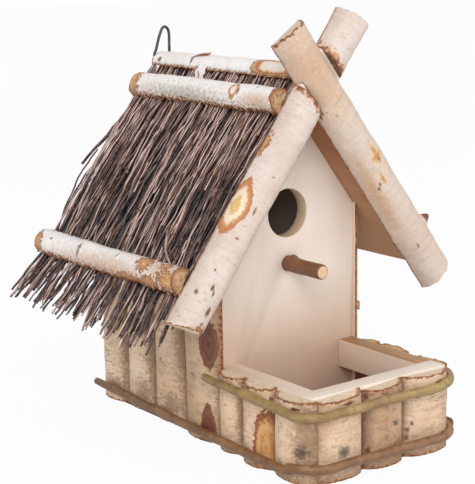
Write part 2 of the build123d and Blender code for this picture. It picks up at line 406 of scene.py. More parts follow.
@dataclass(frozen=True)
class TwigBark:
    """Thin bark of a cut twig or withy: dark or olive skin with a dull sheen and small pores.

    The eye gets rods of slightly different colours, each a little blotched along its length, with painted shade on its
    underside.
    """

    name: str
    tones: tuple[str, ...]
    fleck: str
    fleck_size: float = 2.2
    damp: float = 0.35
    bleach: float = 0.0
    bleach_low: float = 170.0
    bleach_high: float = 218.0
    blotch_size: float = 11.0
    blotched: float = 0.9
    roughness: float = 0.5

    def build(self) -> Material:
        """Build the skin from each rod's own tone.

        Returns:
            The material.
        """
        paint = Paint(self.name)
        tone = paint.add("Attribute", attribute_name="rod_tone").outputs["Fac"]
        place = paint.add("TexCoord").outputs["Object"]
        blotch = paint.add("TexNoise", {"Vector": place, "Scale": 1 / (self.blotch_size * MM), "Detail": 2.0})
        shift = paint.add("Math.SUBTRACT", {0: blotch, 1: 0.5})
        # Painted light: the tone lifts between two heights, so the twigs higher up the slope look lit.
        height = paint.add("SeparateXYZ", {0: place}).outputs["Z"]
        faded = paint.add("MapRange", {0: height, 1: self.bleach_low * MM, 2: self.bleach_high * MM, 4: self.bleach})
        aged = paint.add("Math.ADD", {0: tone, 1: faded})
        mixed = paint.add("Math.MULTIPLY_ADD", {0: shift, 1: self.blotched, 2: aged}, use_clamp=True)
        last = len(self.tones) - 1
        skin = paint.add("ValToRGB", {0: mixed}, ramp=[(step / last, tint) for step, tint in enumerate(self.tones)])
        pores = paint.add("TexNoise", {"Vector": place, "Scale": 1 / (self.fleck_size * MM), "Detail": 2.0})
        fleck = paint.add("MapRange", {0: pores, 1: 0.55, 2: 0.72, 4: 0.6})
        # Painted shade: the skin darkens where it faces down.
        facing = paint.add("SeparateXYZ", {0: paint.add("NewGeometry").outputs["Normal"]}).outputs["Z"]
        damp = paint.add("MapRange", {0: facing, 1: -0.3, 2: 0.75, 3: self.damp, 4: 0.0})
        colour = paint.overlay(skin, [(fleck, linear(self.fleck)), (damp, linear(self.tones[0]))])
        return paint.finish(colour, self.roughness, pores)


@dataclass(frozen=True)
class AnnealedWire:
    """Soft iron wire, annealed: a thin black oxide skin with a dull shine where it has rubbed.

    The eye gets a dark grey line with a narrow highlight.
    """

    name: str = "annealed_iron_wire"
    oxide: str = "#3d3a39"
    rubbed: str = "#6a6663"
    metallic: float = 0.35
    roughness: float = 0.42

    def build(self) -> Material:
        """Build the wire's oxide skin.

        Returns:
            The material.
        """
        paint = Paint(self.name)
        place = paint.add("TexCoord").outputs["Object"]
        wear = paint.add("TexNoise", {"Vector": place, "Scale": 0.25 / MM, "Detail": 3.0})
        share = paint.add("MapRange", {0: wear, 1: 0.48, 2: 0.7})
        paint.shader.inputs["Metallic"].default_value = self.metallic
        return paint.finish(paint.overlay(linear(self.oxide), [(share, linear(self.rubbed))]), self.roughness)


def made(finish: Any) -> Any:
    """Field that builds its material from a finish."""
    return field(default_factory=finish.build)


@dataclass
class Finishes:
    """Every material of the nest box, built once."""

    bright_bark: Material = made(BirchBark("birch_bark_bright", "#fbf8f6", "#f3ece8", "#d9ccc3", pore_share=0.2))
    white_bark: Material = made(BirchBark("birch_bark_white", "#dbcdc4", "#cfbcaf", "#b49d8d", pore_share=0.35))
    cream_bark: Material = made(BirchBark("birch_bark_cream", "#d6c5b7", "#d1bdaf", "#b69a85", pore_share=0.22))
    pale_bark: Material = made(BirchBark(
        "birch_bark_pale_tan", "#eed2b5", "#dfbe9c", "#a98462", pore_share=0.8, blotched=0.35))
    # Brighter copy of the pale tan bark: painted light on the logs that lie in the thatch's shadow.
    light_bark: Material = made(BirchBark(
        "birch_bark_light_tan", "#fbe3c8", "#eecfad", "#b38e6b", pore_share=0.8, blotched=0.35))
    tan_bark: Material = made(BirchBark(
        "birch_bark_tan", "#e0c4a7", "#caa785", "#957252", pore_share=0.85, blotched=0.45))
    brown_bark: Material = made(BirchBark(
        "birch_bark_brown", "#cda988", "#b08a6a", "#8d6a50", pore_share=0.8, blotched=0.6, soil="#6f4c33"))
    log_end: Material = made(CutEnd("birch_end_sawn", "#e0cab0", "#d0b592", inner="#a8744a"))
    dark_end: Material = made(CutEnd(
        "birch_end_weathered", "#d0aa7e", "#b58b5f", skin="#5c3c29", inner="#a5744a", rind=1.3, rotted=0.7))
    twig_end: Material = made(CutEnd(
        "hazel_end_cut", "#dcbb99", "#c09470", skin="#6d4430", inner="#8b5b3d", ring_width=1.1, rind=0.3))
    upright_board: Material = made(PlanedBoard("spruce_planed_upright", "#e4d2c1", "#dfcab7", (0, 0, 1)))
    # Darker towards the bottom of the front wall.
    gable_board: Material = made(PlanedBoard("spruce_planed_gable", "#ecdfd3", "#e8d8c9", (0, 0, 1), soil_high=108.0))
    worn_board: Material = made(PlanedBoard("spruce_worn_edge", "#b98f66", "#8f683f", (0, 1, 0), band_width=6.0))
    cut_board: Material = made(PlanedBoard("spruce_bored_edge", "#e8d0b4", "#dcc09f", (1, 0, 0)))
    long_board: Material = made(PlanedBoard("spruce_planed_long", "#e4d2c0", "#d6bda6", (0, 1, 0)))
    cross_board: Material = made(PlanedBoard("spruce_planed_cross", "#ede1d4", "#e6d5c4", (1, 0, 0)))
    # Painted shade: the roof boards are a plain board darkened for the shade under the roof, with painted light towards
    # the eave.
    roof_board: Material = made(PlanedBoard(
        "spruce_sawn_roof", "#ab7751", "#936040", (0, 1, 0), soil="#c8a282", soil_low=125.0,
        soil_high=190.0, roughness=0.7))
    # Painted shade: dark reddish brown for the tray's floor, the base board's sides and the tray logs' backs, in the
    # recesses under rails and logs.
    floor_board: Material = made(PlanedBoard("spruce_soiled_floor", "#8a5543", "#744434", (0, 1, 0), roughness=0.75))
    # The twig tones run from near-black, painted shade in the gaps, to a pale top tone, partly painted highlight.
    thatch_twig: Material = made(TwigBark(
        "birch_twig_dried", ("#0b0506", "#36221e", "#80584e", "#edcbbf"), "#b58f83", damp=0.9,
        bleach=0.44, blotch_size=17.0, blotched=1.1, roughness=0.42))
    thatch_bud: Material = made(TwigBark("birch_catkin_dried", ("#26140c", "#5a361f", "#875832", "#a97a4c"), "#8f6a45"))
    green_withy: Material = made(TwigBark(
        "willow_withy_green", ("#735a36", "#9b7f50", "#b89c64"), "#66502f", fleck_size=4.0, blotched=1.5))
    brown_withy: Material = made(TwigBark(
        "willow_withy_brown", ("#60402a", "#87613d", "#a37b4e"), "#503622", fleck_size=4.0, blotched=1.5))
    perch_bark: Material = made(TwigBark("hazel_twig_bark", ("#6e4530", "#7f5539", "#906243"), "#573726"))
    wire: Material = made(AnnealedWire())


def fractal(points: np.ndarray, seed: float) -> np.ndarray:
    """Smooth noise in about -1 to 1 at scaled points.

    Args:
        points: Rows of two or three scaled coordinates.
        seed: Offset that makes each piece differ.

    Returns:
        One value for each point.
    """
    third = points[:, 2] if points.shape[1] > 2 else np.zeros(len(points))
    shifted = zip(points[:, 0] + seed * 7.3, points[:, 1] - seed * 3.1, third + seed * 5.7)
    return np.array([noise.noise(Vector(point)) for point in shifted])


def add_object(name: str, data: bpy.types.ID) -> Piece:
    """Make an object and link it to the scene.

    Args:
        name: Name of the object.
        data: Its mesh, lamp or camera.

    Returns:
        The new object.
    """
    thing = bpy.data.objects.new(name, data)
    bpy.context.scene.collection.objects.link(thing)
    return thing


def make_mesh(name: str, points: np.ndarray, faces: list, slots: list[int], materials: list[Material],
              fields: dict[str, np.ndarray]) -> Piece:
    """Make a closed mesh piece with material slots and point attributes.

    Args:
        name: Name of the piece.
        points: Points in millimetres.
        faces: Vertex indices of each face.
        slots: Material slot of each face.
        materials: Materials in slot order.
        fields: Point attributes; a row of three values makes a vector attribute.

    Returns:
        The new object, linked to the scene.
    """
    mesh = bpy.data.meshes.new(name)
    mesh.from_pydata((points * MM).tolist(), [], faces)
    for material in materials:
        mesh.materials.append(material)
    mesh.polygons.foreach_set("material_index", slots)
    for key, values in fields.items():
        kind = "FLOAT_VECTOR" if values.ndim > 1 else "FLOAT"
        layer = mesh.attributes.new(key, kind, "POINT")
        layer.data.foreach_set("vector" if values.ndim > 1 else "value", values.astype(np.float32).ravel())
    shell = bmesh.new()
    shell.from_mesh(mesh)
    bmesh.ops.recalc_face_normals(shell, faces=shell.faces)
    shell.to_mesh(mesh)
    shell.free()
    mesh.shade_smooth()
    mesh.set_sharp_from_angle(angle=math.radians(LOG_SHARP_DEG))
    return add_object(name, mesh)


def settle(piece: Piece, slot: str, *nodes: str) -> None:
    """Let a finished piece ride on the body and stand for its solids.

    Args:
        piece: Finished mesh object at the origin.
        slot: Material slot of the record; not used.
        *nodes: Solids that the piece stands for.
    """
    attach(piece, BODY)
    if nodes:
        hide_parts(*nodes)
    LOG.info("%s: %d faces", piece.name, len(piece.data.polygons))


class Shell:
    """Points, faces and cut-end fields of a closed piece while it is built."""

    def __init__(self, skin: np.ndarray, girth: float) -> None:
        """Start with the bark.

        Args:
            skin: Points of the bark.
            girth: Radius of the cut ends.
        """
        self.points = [skin]
        self.depth = [np.zeros(len(skin))]
        self.radius = [np.full(len(skin), girth)]
        self.faces: list = []
        self.slots: list[int] = []
        self.total = len(skin)
        self.girth = girth

    def add(self, points: np.ndarray, depth: float, radius: float) -> list[int]:
        """Add points of a cut end at one depth and radius.

        Args:
            points: Rows of coordinates.
            depth: Depth under the bark.
            radius: Distance from the middle.

        Returns:
            Indices of the points.
        """
        self.points.append(points)
        self.depth.append(np.full(len(points), depth))
        self.radius.append(np.full(len(points), radius))
        self.total += len(points)
        return list(range(self.total - len(points), self.total))

    def fill(self, slot: int, *corners: list[int]) -> None:
        """Add a strip of faces.

        Args:
            slot: Material slot of the faces.
            *corners: All first corners, all second corners and so on.
        """
        strip = list(zip(*corners))
        self.faces += strip
        self.slots += [slot] * len(strip)

    def cap(self, rim: list[int], middle: np.ndarray, shares: tuple[float, ...], depth: float, closed: bool,
            seed: float | None = None) -> list[int]:
        """Close an end with rings that shrink towards its middle.

        Args:
            rim: Indices of the bark's rim.
            middle: Middle of the end, as one row.
            shares: Size of each ring as a share of the rim.
            depth: Depth of the middle under the bark.
            closed: Whether the rim runs all the way round.
            seed: Seed of the sawn face's roughness, or nothing for a smooth cut.

        Returns:
            Indices along the open edge, from the rim's start over the middle to its end.
        """
        reach = self.points[0][rim] - middle
        starts, ends = rim[:1], rim[-1:]
        for share in shares:
            ring = middle + reach * share
            if seed is not None:
                ring[1:-1, 0] += fractal(ring[1:-1] / SAW_MARK_SIZE, seed) * SAW_MARK_DEPTH
            inner = self.add(ring, (1 - share) * depth, share * self.girth)
            self.fill(1, rim, rim[1:] + rim[:closed], inner[1:] + inner[:closed], inner)
            rim = inner
            starts = starts + rim[:1]
            ends = rim[-1:] + ends
        tip = self.add(middle, self.girth, 0.0)
        self.fill(1, rim, rim[1:] + rim[:closed], tip * len(rim))
        return starts + tip + ends

    def fields(self) -> dict[str, np.ndarray]:
        """Depth and radius of every point, for the cut ends' material."""
        return {"cut_depth": np.concatenate(self.depth), "cut_radius": np.concatenate(self.radius)}


@dataclass(frozen=True)
class Slope:
    """One side of the roof. Places are given down from the apex, along the ridge and out from the underside."""

    side: Side
    apex: float
    pitch: float = math.radians(ROOF_PITCH_DEG)

    @property
    def down(self) -> Vector:
        """Direction down the slope."""
        return Vector((self.side.value * math.cos(self.pitch), 0, -math.sin(self.pitch)))

    @property
    def out(self) -> Vector:
        """Direction out of the roof."""
        return Vector((self.side.value * math.sin(self.pitch), 0, math.cos(self.pitch)))

    def point(self, distance: float, y: float, offset: float) -> Vector:
        """Point at a distance down the slope, a place along the ridge and an offset out of it."""
        return UP * self.apex + self.down * distance + BACK * y + self.out * offset

    def matrix(self) -> Matrix:
        """Frame of the slope in metres.

        Returns:
            Matrix with X down the slope, Y along the ridge and Z out of it.
        """
        ridge = self.out.cross(self.down)
        columns = Matrix((self.down, ridge, self.out)).transposed().to_4x4()
        return Matrix.Translation(UP * self.apex * MM) @ columns


@dataclass(frozen=True)
class Blemish:
    """Mark on the bark, by its place along the log, its turn from the crown in degrees and its half sizes."""

    mark: Mark
    along: float
    turn: float
    half_length: float
    half_width: float
    swell: float = 0.0
    power: float = 2.0


@dataclass(frozen=True)
class EndCut:
    """How an end is sawn: millimetres of length gained for each millimetre across and out, its roughness and rim."""

    slant: float = 0.0
    rake: float = 0.0
    ragged: float = 0.35
    rim: float = 1.0


@dataclass(frozen=True)
class Lap:
    """Half-lap across a log: where it starts and ends, its slant, the floor's height and the side it is cut from."""

    start: float
    end: float
    slant: float
    floor: float
    from_front: bool


@dataclass
class HalfLog:
    """Split log with its bark on: a half-round that wavers, with sawn ends, a flat back and its own marks."""

    name: str
    foot: Vector
    along: Vector
    across: Vector
    out: Vector
    length: float
    width: float
    thickness: float
    bark: Material
    seed: float
    start_cut: EndCut = EndCut()
    end_cut: EndCut = EndCut()
    blemishes: tuple[Blemish, ...] = ()
    lap: Lap | None = None
    step: float = 1.25
    waver: float = 0.5
    bow: float = 0.6
    rim: float = 1.0
    lap_rim: float = 2.6
    soiled: float = 8.0
    fray: float = 0.0
    lump_size: tuple[float, float] = (19.0, 12.0)
    ripple_size: tuple[float, float] = (5.5, 4.5)
    ripple_share: float = 0.4
    sway_length: float = 55.0
    tear_size: tuple[float, float] = (2.1, 6.0)
    tear_reach: float = 2.2
    splinter_size: float = 2.2
    cap_shares: tuple[float, ...] = (0.95, 0.88, 0.78, 0.6, 0.35)

    def stations(self) -> list[tuple[float, float, float, bool]]:
        """Places along the log where its section changes.

        Returns:
            Each place with its slant, its rake and whether the lap is open there.
        """
        first = (0.0, self.start_cut.slant, self.start_cut.rake, False)
        last = (self.length, self.end_cut.slant, self.end_cut.rake, False)
        if self.lap is None:
            return [first, last]
        lap = self.lap
        return [first, (lap.start, lap.slant, 0.0, False), (lap.start, lap.slant, 0.0, True),
                (lap.end, lap.slant, 0.0, True), (lap.end, lap.slant, 0.0, False), last]

    def rows(self) -> list[tuple[float, float, float, bool]]:
        """Stations filled in at the mesh's step.

        Returns:
            Rows of the mesh, as the stations are given.
        """
        filled = []
        stops = self.stations()
        for here, there in zip(stops, stops[1:]):
            count = max(1, round((there[0] - here[0]) / self.step))
            for index in range(count):
                share = index / count
                values = [a + (b - a) * share for a, b in zip(here[:3], there[:3])]
                filled.append((*values, here[3]))
        filled.append(stops[-1])
        return filled

    def section(self, columns: int) -> tuple[np.ndarray, np.ndarray]:
        """Angles round the half-round and the girth from its crown.

        Args:
            columns: Number of strips round the bark.

        Returns:
            Angles from one edge to the other, and signed girth from the crown in millimetres.
        """
        angles = np.linspace(0.0, math.pi, columns + 1)
        x = self.width / 2 * np.cos(angles)
        y = self.thickness * np.sin(angles)
        lengths = np.hypot(np.diff(x), np.diff(y))
        girth = np.concatenate(([0.0], np.cumsum(lengths)))
        return angles, girth[-1] / 2 - girth

    def build(self, log_end: Material, sawn: Material) -> Piece:
        """Build the log's mesh with its bark, cut ends and flat back.

        Args:
            log_end: Material of the sawn ends.
            sawn: Material of the flat back and the lap.

        Returns:
            The log as an object at the origin.
        """
        columns = max(14, round(math.pi / 2 * (self.width / 2 + self.thickness) / self.step))
        angles, girth = self.section(columns)
        rows = self.rows()
        base, slant, rake, lapped = (np.array(column)[:, None] for column in zip(*rows))
        theta = np.repeat(angles[None, :], len(rows), axis=0)
        if self.lap is not None and not self.lap.from_front:
            low = math.asin(self.lap.floor / self.thickness)
            theta = np.where(lapped, low + theta * (1 - 2 * low / math.pi), theta)
        x = self.width / 2 * np.cos(theta)
        y = self.thickness * np.sin(theta)
        arc = np.repeat(girth[None, :], len(rows), axis=0)
        place = base + slant * x + rake * y
        near_lap = np.full(place.shape, NO_BLEMISH)
        if self.lap is not None and self.lap.from_front:
            past_lap = place - self.lap.slant * x
            near_lap = np.minimum(np.abs(past_lap - self.lap.start), np.abs(past_lap - self.lap.end)) / self.lap_rim

        flat = np.stack([place.ravel(), arc.ravel()], axis=1)
        lumps = fractal(flat / self.lump_size, self.seed) * self.waver
        lumps += fractal(flat / self.ripple_size, self.seed + 11) * self.waver * self.ripple_share
        marks, swell = self.marks(flat, angles, girth)
        lumps = (lumps + swell).reshape(x.shape)
        reach = np.maximum(np.hypot(x, y), 1e-6)
        growth = np.where(lapped, 0.0, lumps / reach)
        slow = np.stack([base.ravel() / self.sway_length, np.zeros(len(rows))], axis=1)
        sway = fractal(slow, self.seed + 23)[:, None] * self.bow
        x = x * (1 + growth) + sway
        y = y * (1 + growth)
        torn = fractal(flat / self.tear_size, self.seed + 53).reshape(x.shape)
        x = x + np.sign(x) * torn * self.fray * np.exp(-(girth[0] - np.abs(arc)) / self.tear_reach)
        if self.lap is not None and self.lap.from_front:
            y = np.where(lapped, np.minimum(y, self.lap.floor), y)
        ragged = fractal(np.stack([arc[0] / self.splinter_size, np.zeros(columns + 1)], axis=1), self.seed + 31)
        place[0] += ragged * self.start_cut.ragged
        place[-1] += ragged[::-1] * self.end_cut.ragged

        count = columns + 1
        shell = Shell(np.stack([place.ravel(), x.ravel(), y.ravel()], axis=1), self.thickness)
        seams = {}
        for end in (0, len(rows) - 1):
            rim = list(range(end * count, end * count + count))
            middle = shell.points[0][[rim[0], rim[-1]]].mean(axis=0, keepdims=True)
            seams[end] = shell.cap(rim, middle, self.cap_shares, min(self.thickness, self.width / 2), False,
                                   self.seed + 41)
        for row in range(len(rows) - 1):
            is_lap = bool(lapped[row, 0] or lapped[row + 1, 0])
            is_shoulder = bool(lapped[row, 0] != lapped[row + 1, 0])
            slot = 1 if is_shoulder else 2 if is_lap and self.lap.from_front else 0
            here = list(range(row * count, row * count + count))
            there = [index + count for index in here]
            shell.fill(slot, here, here[1:], there[1:], there)
            near = seams.get(row, [here[0], here[-1]])
            far = seams.get(row + 1, [there[0], there[-1]])
            shell.fill(2, *([corner] for corner in (*near, *far[::-1])))

        local = np.concatenate(shell.points)
        axes = np.array([self.along, self.across, self.out])
        world = np.array(self.foot) + local @ axes
        bark_place = np.zeros((len(local), 3))
        bark_place[:x.size, 0] = arc.ravel()
        bark_place[:x.size, 1] = place.ravel()
        bark_place[:, 2] = self.seed * 17.3
        near_end = np.minimum((place - place[0]) / max(self.start_cut.rim, 0.01),
                              (place[-1] - place) / max(self.end_cut.rim, 0.01))
        from_back = girth[0] - np.abs(arc)
        # bark_joint carries painted shade on the flanks, over the given reach from the flat back.
        on_bark = {"bark_edge": np.minimum(np.minimum(near_end * 1.4, from_back / self.rim), near_lap),
                   "bark_joint": from_back / self.soiled, **{mark.value: values for mark, values in marks.items()}}
        fields = {"bark_place": bark_place, **shell.fields()}
        for key, values in on_bark.items():
            fields[key] = np.full(len(local), NO_BLEMISH)
            fields[key][:x.size] = values.ravel()
        return make_mesh(self.name, world, shell.faces, shell.slots, [self.bark, log_end, sawn], fields)

    def marks(self, flat: np.ndarray, angles: np.ndarray, girth: np.ndarray) -> tuple[dict, np.ndarray]:
        """Fields of the blemishes and how much they swell the bark.

        Args:
            flat: Places along the log and girth from the crown.
            angles: Angles of the section.
            girth: Girth from the crown at those angles.

        Returns:
            A field for each kind of mark, one at its rim, and the swelling in millimetres.
        """
        found = {mark: np.full(len(flat), NO_BLEMISH) for mark in Mark}
        swell = np.zeros(len(flat))
        for blemish in self.blemishes:
            centre = np.interp(math.radians(90 - blemish.turn), angles, girth)
            reach = (np.abs((flat[:, 0] - blemish.along) / blemish.half_length) ** blemish.power
                     + np.abs((flat[:, 1] - centre) / blemish.half_width) ** blemish.power) ** (1 / blemish.power)
            found[blemish.mark] = np.minimum(found[blemish.mark], reach)
            swell += blemish.swell * np.exp(-1.6 * reach ** 2)
        return found, swell


def node_box(node: str) -> tuple[Vector, Vector]:
    """Lowest and highest corner of a solid in millimetres."""
    low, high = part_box(node)
    return low / MM, high / MM


def standing_log(node: str, out: Vector, bark: Material, seed: float, lift: float = 0.0,
                 **more: Any) -> HalfLog:
    """Split log that stands against an upright face, as its solid does.

    Args:
        node: Solid that the log stands for.
        out: Direction in which the bark faces.
        bark: Material of the bark.
        seed: Seed of its shape and colour.
        lift: How far its lower end is sawn off.
        **more: Other fields of the log.

    Returns:
        The log, not built yet.
    """
    low, high = node_box(node)
    middle = (low + high) / 2
    faces_side = abs(out.x) > abs(out.y)
    across = -BACK if faces_side else RIGHT
    spread = high - low
    width = spread.y if faces_side else spread.x
    thickness = spread.x if faces_side else spread.y
    foot = Vector((middle.x, middle.y, low.z + lift)) - out * thickness / 2
    return HalfLog(node, foot, UP, across, out, spread.z - lift, width, thickness, bark, seed, **more)


@dataclass
class HouseCladding:
    """Split logs on both sides of the house, cut under the roof."""

    finishes: Finishes
    knee: EndCut = EndCut(rake=-math.tan(math.radians(ROOF_PITCH_DEG)))
    foot: EndCut = EndCut(ragged=0.4, rim=1.8)
    lifts: tuple[float, ...] = (3.0, 5.5, 5.5, 4.0)
    seed_step: float = 1.7
    right_seed: float = 5.0
    rim: float = 1.0
    corner_rim: float = 1.9
    # The shade-and-weather marks are painted shade on the logs' flanks and, near the foot, partly weathering.
    marks: dict[str, tuple[Blemish, ...]] = field(default_factory=lambda: {
        "left_log_1": (Mark.KNOT(68.8, 41, 18, 8.4, 0.5, 1.5), Mark.KNOT(11, 34, 19, 6.8, 0.4, 1.6)),
        "left_log_2": (Mark.WEATHER(70, 60, 60, 8), Mark.WEATHER(19, 30, 11, 12), Mark.SCAR(48, -10, 2.0, 1.2)),
        "left_log_3": (Mark.WEATHER(50, 66, 70, 8), Mark.WEATHER(20, 30, 11, 12), Mark.SCAR(84, 12, 1.6, 2.4)),
        "left_log_4": (Mark.WEATHER(60, 64, 70, 7), Mark.WEATHER(15, 25, 7, 12)),
        "right_log_1": (Mark.KNOT(92, -10, 11, 6, 0.6), Mark.PEEL(30, 50, 14, 6)),
        "right_log_2": (Mark.SCAR(60, 15, 2.4, 3.0), Mark.WEATHER(110, -50, 40, 8)),
        "right_log_3": (Mark.RING(40, 5, 13, 7, 0.6), Mark.STAIN(100, 30, 4, 6)),
        "right_log_4": (Mark.PEEL(75, -45, 18, 5), Mark.SCAR(22, 20, 2.0, 2.0)),
    })

    def build(self) -> None:
        """Build the logs from the front corner to the back on both sides."""
        kit = self.finishes
        # The back two logs take the brighter copy, painted light against the thatch's shadow.
        tones = (kit.tan_bark, kit.pale_bark, kit.light_bark, kit.light_bark)
        for side in Side:
            for number, bark in enumerate(tones, start=1):
                node = f"{side.name.lower()}_log_{number}"
                seed = number * self.seed_step + self.right_seed * (side is Side.RIGHT)
                lift = self.lifts[number - 1]
                marks = tuple(replace(mark, along=mark.along - lift) for mark in self.marks[node])
                log = standing_log(node, RIGHT * side.value, bark, seed, lift, start_cut=self.foot, end_cut=self.knee,
                                   blemishes=marks, rim=self.corner_rim if number == 1 else self.rim)
                settle(log.build(kit.log_end, kit.upright_board), "birch_bark", node)


@dataclass
class TrayCladding:
    """Short split logs round the feeding tray, each sawn a little out of square."""

    finishes: Finishes
    # The shade-and-weather marks, and the wide blush-and-shade mark on the third left log, are painted shade on flanks
    # and feet.
    marks: dict[str, tuple[Blemish, ...]] = field(default_factory=lambda: {
        "tray_left_log_1": (Mark.WEATHER(25, 70, 30, 5), Mark.SCAR(44, 20, 1.5, 4.0)),
        "tray_left_log_2": (
            Mark.BURR(13, 50, 27, 10.5, -0.3, 2.4), Mark.SCAR(46, 66, 2.4, 2.0), Mark.SCAR(22, 12, 13, 0.8)),
        "tray_left_log_3": (
            Mark.WEATHER(27, 54, 38, 12), Mark.BLUSH(27, 56, 48, 21), Mark.STAIN(21, 40, 6, 7.5),
            Mark.SCAR(47, 25, 1.4, 5)),
        "tray_front_log_1": (Mark.STAIN(17.8, -2, 6.0, 6.5), Mark.BLUSH(40, -40, 12, 10), Mark.SCAR(47.5, 10, 1.4, 7)),
        "tray_front_log_2": (
            Mark.WEATHER(26, -66, 40, 7), Mark.SCAR(11.8, -60, 3.6, 3.0), Mark.SCAR(47, -66, 3, 2.6),
            Mark.WEATHER(10, 30, 7, 14), Mark.STAIN(27, 20, 3, 5)),
        "tray_front_log_3": (
            Mark.STAIN(17.5, -64, 3, 2.6), Mark.STAIN(12.5, -68, 2.6, 2.2), Mark.STAIN(22, -51, 2.6, 2.2),
            Mark.SCAR(46, 25, 1.2, 9)),
        "tray_right_log_1": (Mark.WEATHER(25, -60, 30, 7),),
        "tray_right_log_2": (Mark.KNOT(24, 5, 8, 6, 0.5),),
        "tray_right_log_3": (Mark.STAIN(18, -20, 6, 6), Mark.PEEL(34, 40, 9, 5)),
    })
    foot: EndCut = EndCut(ragged=0.4, rim=1.6)
    first_seed: float = 20.0
    side_step: float = 4.1
    seed_step: float = 1.3
    rim: float = 0.06
    soiled: float = 6.0
    # Painted shade at the foot of every tray log.
    splash: Blemish = Mark.WEATHER(0, 0, 9, 60)
    lifts: dict[str, float] = field(default_factory=lambda: {
        "tray_left_log_1": 2.5, "tray_left_log_2": 1.0, "tray_left_log_3": 1.5, "tray_front_log_1": 1.5,
        "tray_front_log_2": 1.5, "tray_front_log_3": 1.5})
    tops: tuple[EndCut, ...] = (EndCut(0.05, -0.10, 0.9), EndCut(-0.04, -0.05, 1.0), EndCut(0.03, -0.12, 1.1))

    def build(self) -> None:
        """Build the logs on the left, the front and the right of the tray."""
        kit = self.finishes
        rows = {
            "tray_left_log": (-RIGHT, (kit.pale_bark, kit.pale_bark, kit.light_bark)),
            "tray_front_log": (-BACK, (kit.tan_bark, kit.brown_bark, kit.tan_bark)),
            "tray_right_log": (RIGHT, (kit.tan_bark, kit.brown_bark, kit.tan_bark)),
        }
        for place, (stem, (out, barks)) in enumerate(rows.items()):
            for number, bark in enumerate(barks, start=1):
                node = f"{stem}_{number}"
                seed = self.first_seed + place * self.side_step + number * self.seed_step
                top = self.tops[(place + number) % len(self.tops)]
                log = standing_log(node, out, bark, seed, self.lifts.get(node, 0.0), start_cut=self.foot, end_cut=top,
                                   blemishes=(*self.marks[node], self.splash), rim=self.rim, soiled=self.soiled)
                end = kit.dark_end if out.x > 0 else kit.log_end
                # The flat backs take the floor board's dark brown, painted shade in the recess under the rails.
                settle(log.build(end, kit.floor_board), "birch_bark", node)


@dataclass
class Bargeboards:
    """Two split poles that cross over the gable in a half-lap, the right one in front."""

    finishes: Finishes
    left: Slope
    right: Slope
    width: float = 26.0
    drop: float = 6.0
    lap_clearance: float = 0.2
    left_horn: float = 57.0
    right_horn: float = 48.5
    left_cuts: tuple[EndCut, EndCut] = (EndCut(0.06, 0.0, 0.8, 0.05), EndCut(0.22, -0.15, 1.6, 0.8))
    right_cuts: tuple[EndCut, EndCut] = (EndCut(0.06, -0.25, 1.6, 1.6), EndCut(-0.12, -0.15, 1.2, 0.1))
    left_seed: float = 41.3
    right_seed: float = 47.9
    # The long blush-and-shade mark at turn -95 on the left pole is painted shade on its inner flank.
    left_marks: tuple[Blemish, ...] = (
        Mark.RING(86.5, 66, 21.5, 9.5, 0.7, 1.35), Mark.PEEL(43, 82, 9, 3.5), Mark.SCAR(137, 13, 3.0, 1.4),
        Mark.SCAR(151, -10, 4.4, 2.0), Mark.SCAR(144, 48, 2.2, 1.6), Mark.SCAR(140, 2, 2.8, 1.0),
        Mark.SCAR(127, 31, 1.4, 0.9), Mark.PEEL(168, -22, 9, 7), Mark.SCAR(104, 20, 1.0, 2.0),
        Mark.SCAR(60, 10, 0.8, 2.2), Mark.SCAR(84, 12, 3.6, 1.2), Mark.BLUSH(90, -95, 120, 16))
    right_marks: tuple[Blemish, ...] = (
        Mark.RESIN(51, 11, 11, 2.4), Mark.RESIN(55, 10, 9.0, 9.0, 0.0, 0.8), Mark.SCAR(57, 11, 1.8, 1.4),
        Mark.RESIN(70, -10, 8, 1.6), Mark.SCAR(72.4, -26, 2.0, 1.2), Mark.SCAR(74.8, -35, 1.6, 1.4),
        Mark.KNOT(123.5, 74, 4.2, 4.0, 6.0), Mark.SCAR(12.4, -27, 3.0, 0.9), Mark.SCAR(129, -25, 3.2, 0.9),
        Mark.SCAR(9, -70, 3.0, 1.4), Mark.BLUSH(-20, -10, 46, 26), Mark.BLUSH(78, -50, 44, 7))

    def pole(self, slope: Slope, horn: float, marks: tuple[Blemish, ...], bark: Material,
             seed: float) -> HalfLog:
        """One bargeboard, from its horn to its lower end, with its lap.

        Args:
            slope: Side of the roof.
            horn: Length above the apex.
            marks: Blemishes, placed down from the apex.
            bark: Material of the bark.
            seed: Seed of its shape.

        Returns:
            The pole, not built yet.
        """
        node = f"{slope.side.name.lower()}_bargeboard"
        low, high = node_box(node)
        thickness = high.y - low.y
        middle = self.width / 2 - self.drop
        tip = low.z + self.width / 2 * math.cos(slope.pitch)
        reach = (slope.apex + middle * math.cos(slope.pitch) - tip) / math.sin(slope.pitch)
        turn = math.pi - 2 * slope.pitch
        crossing = horn - middle * math.tan(slope.pitch)
        half = (self.width / 2 + self.lap_clearance) / math.sin(turn)
        in_front = slope.side is Side.RIGHT
        shift = self.lap_clearance / 2 * (1 if in_front else -1)
        lap = Lap(crossing - half, crossing + half, -math.cos(turn) / math.sin(turn), thickness / 2 + shift,
                  not in_front)
        moved = tuple(replace(mark, along=mark.along + horn) for mark in marks)
        foot = slope.point(-horn, high.y, middle)
        ends = self.right_cuts if in_front else self.left_cuts
        return HalfLog(node, foot, slope.down, slope.out, -BACK, horn + reach, self.width, thickness, bark, seed,
                       start_cut=ends[0], end_cut=ends[1], blemishes=moved, lap=lap, waver=0.7, bow=0.8, rim=0.5,
                       soiled=2.0)

    def build(self) -> None:
        """Build both bargeboards."""
        kit = self.finishes
        for pole in (self.pole(self.left, self.left_horn, self.left_marks, kit.white_bark, self.left_seed),
                     self.pole(self.right, self.right_horn, self.right_marks, kit.cream_bark, self.right_seed)):
            settle(pole.build(kit.log_end, kit.upright_board), "birch_bark", pole.name)


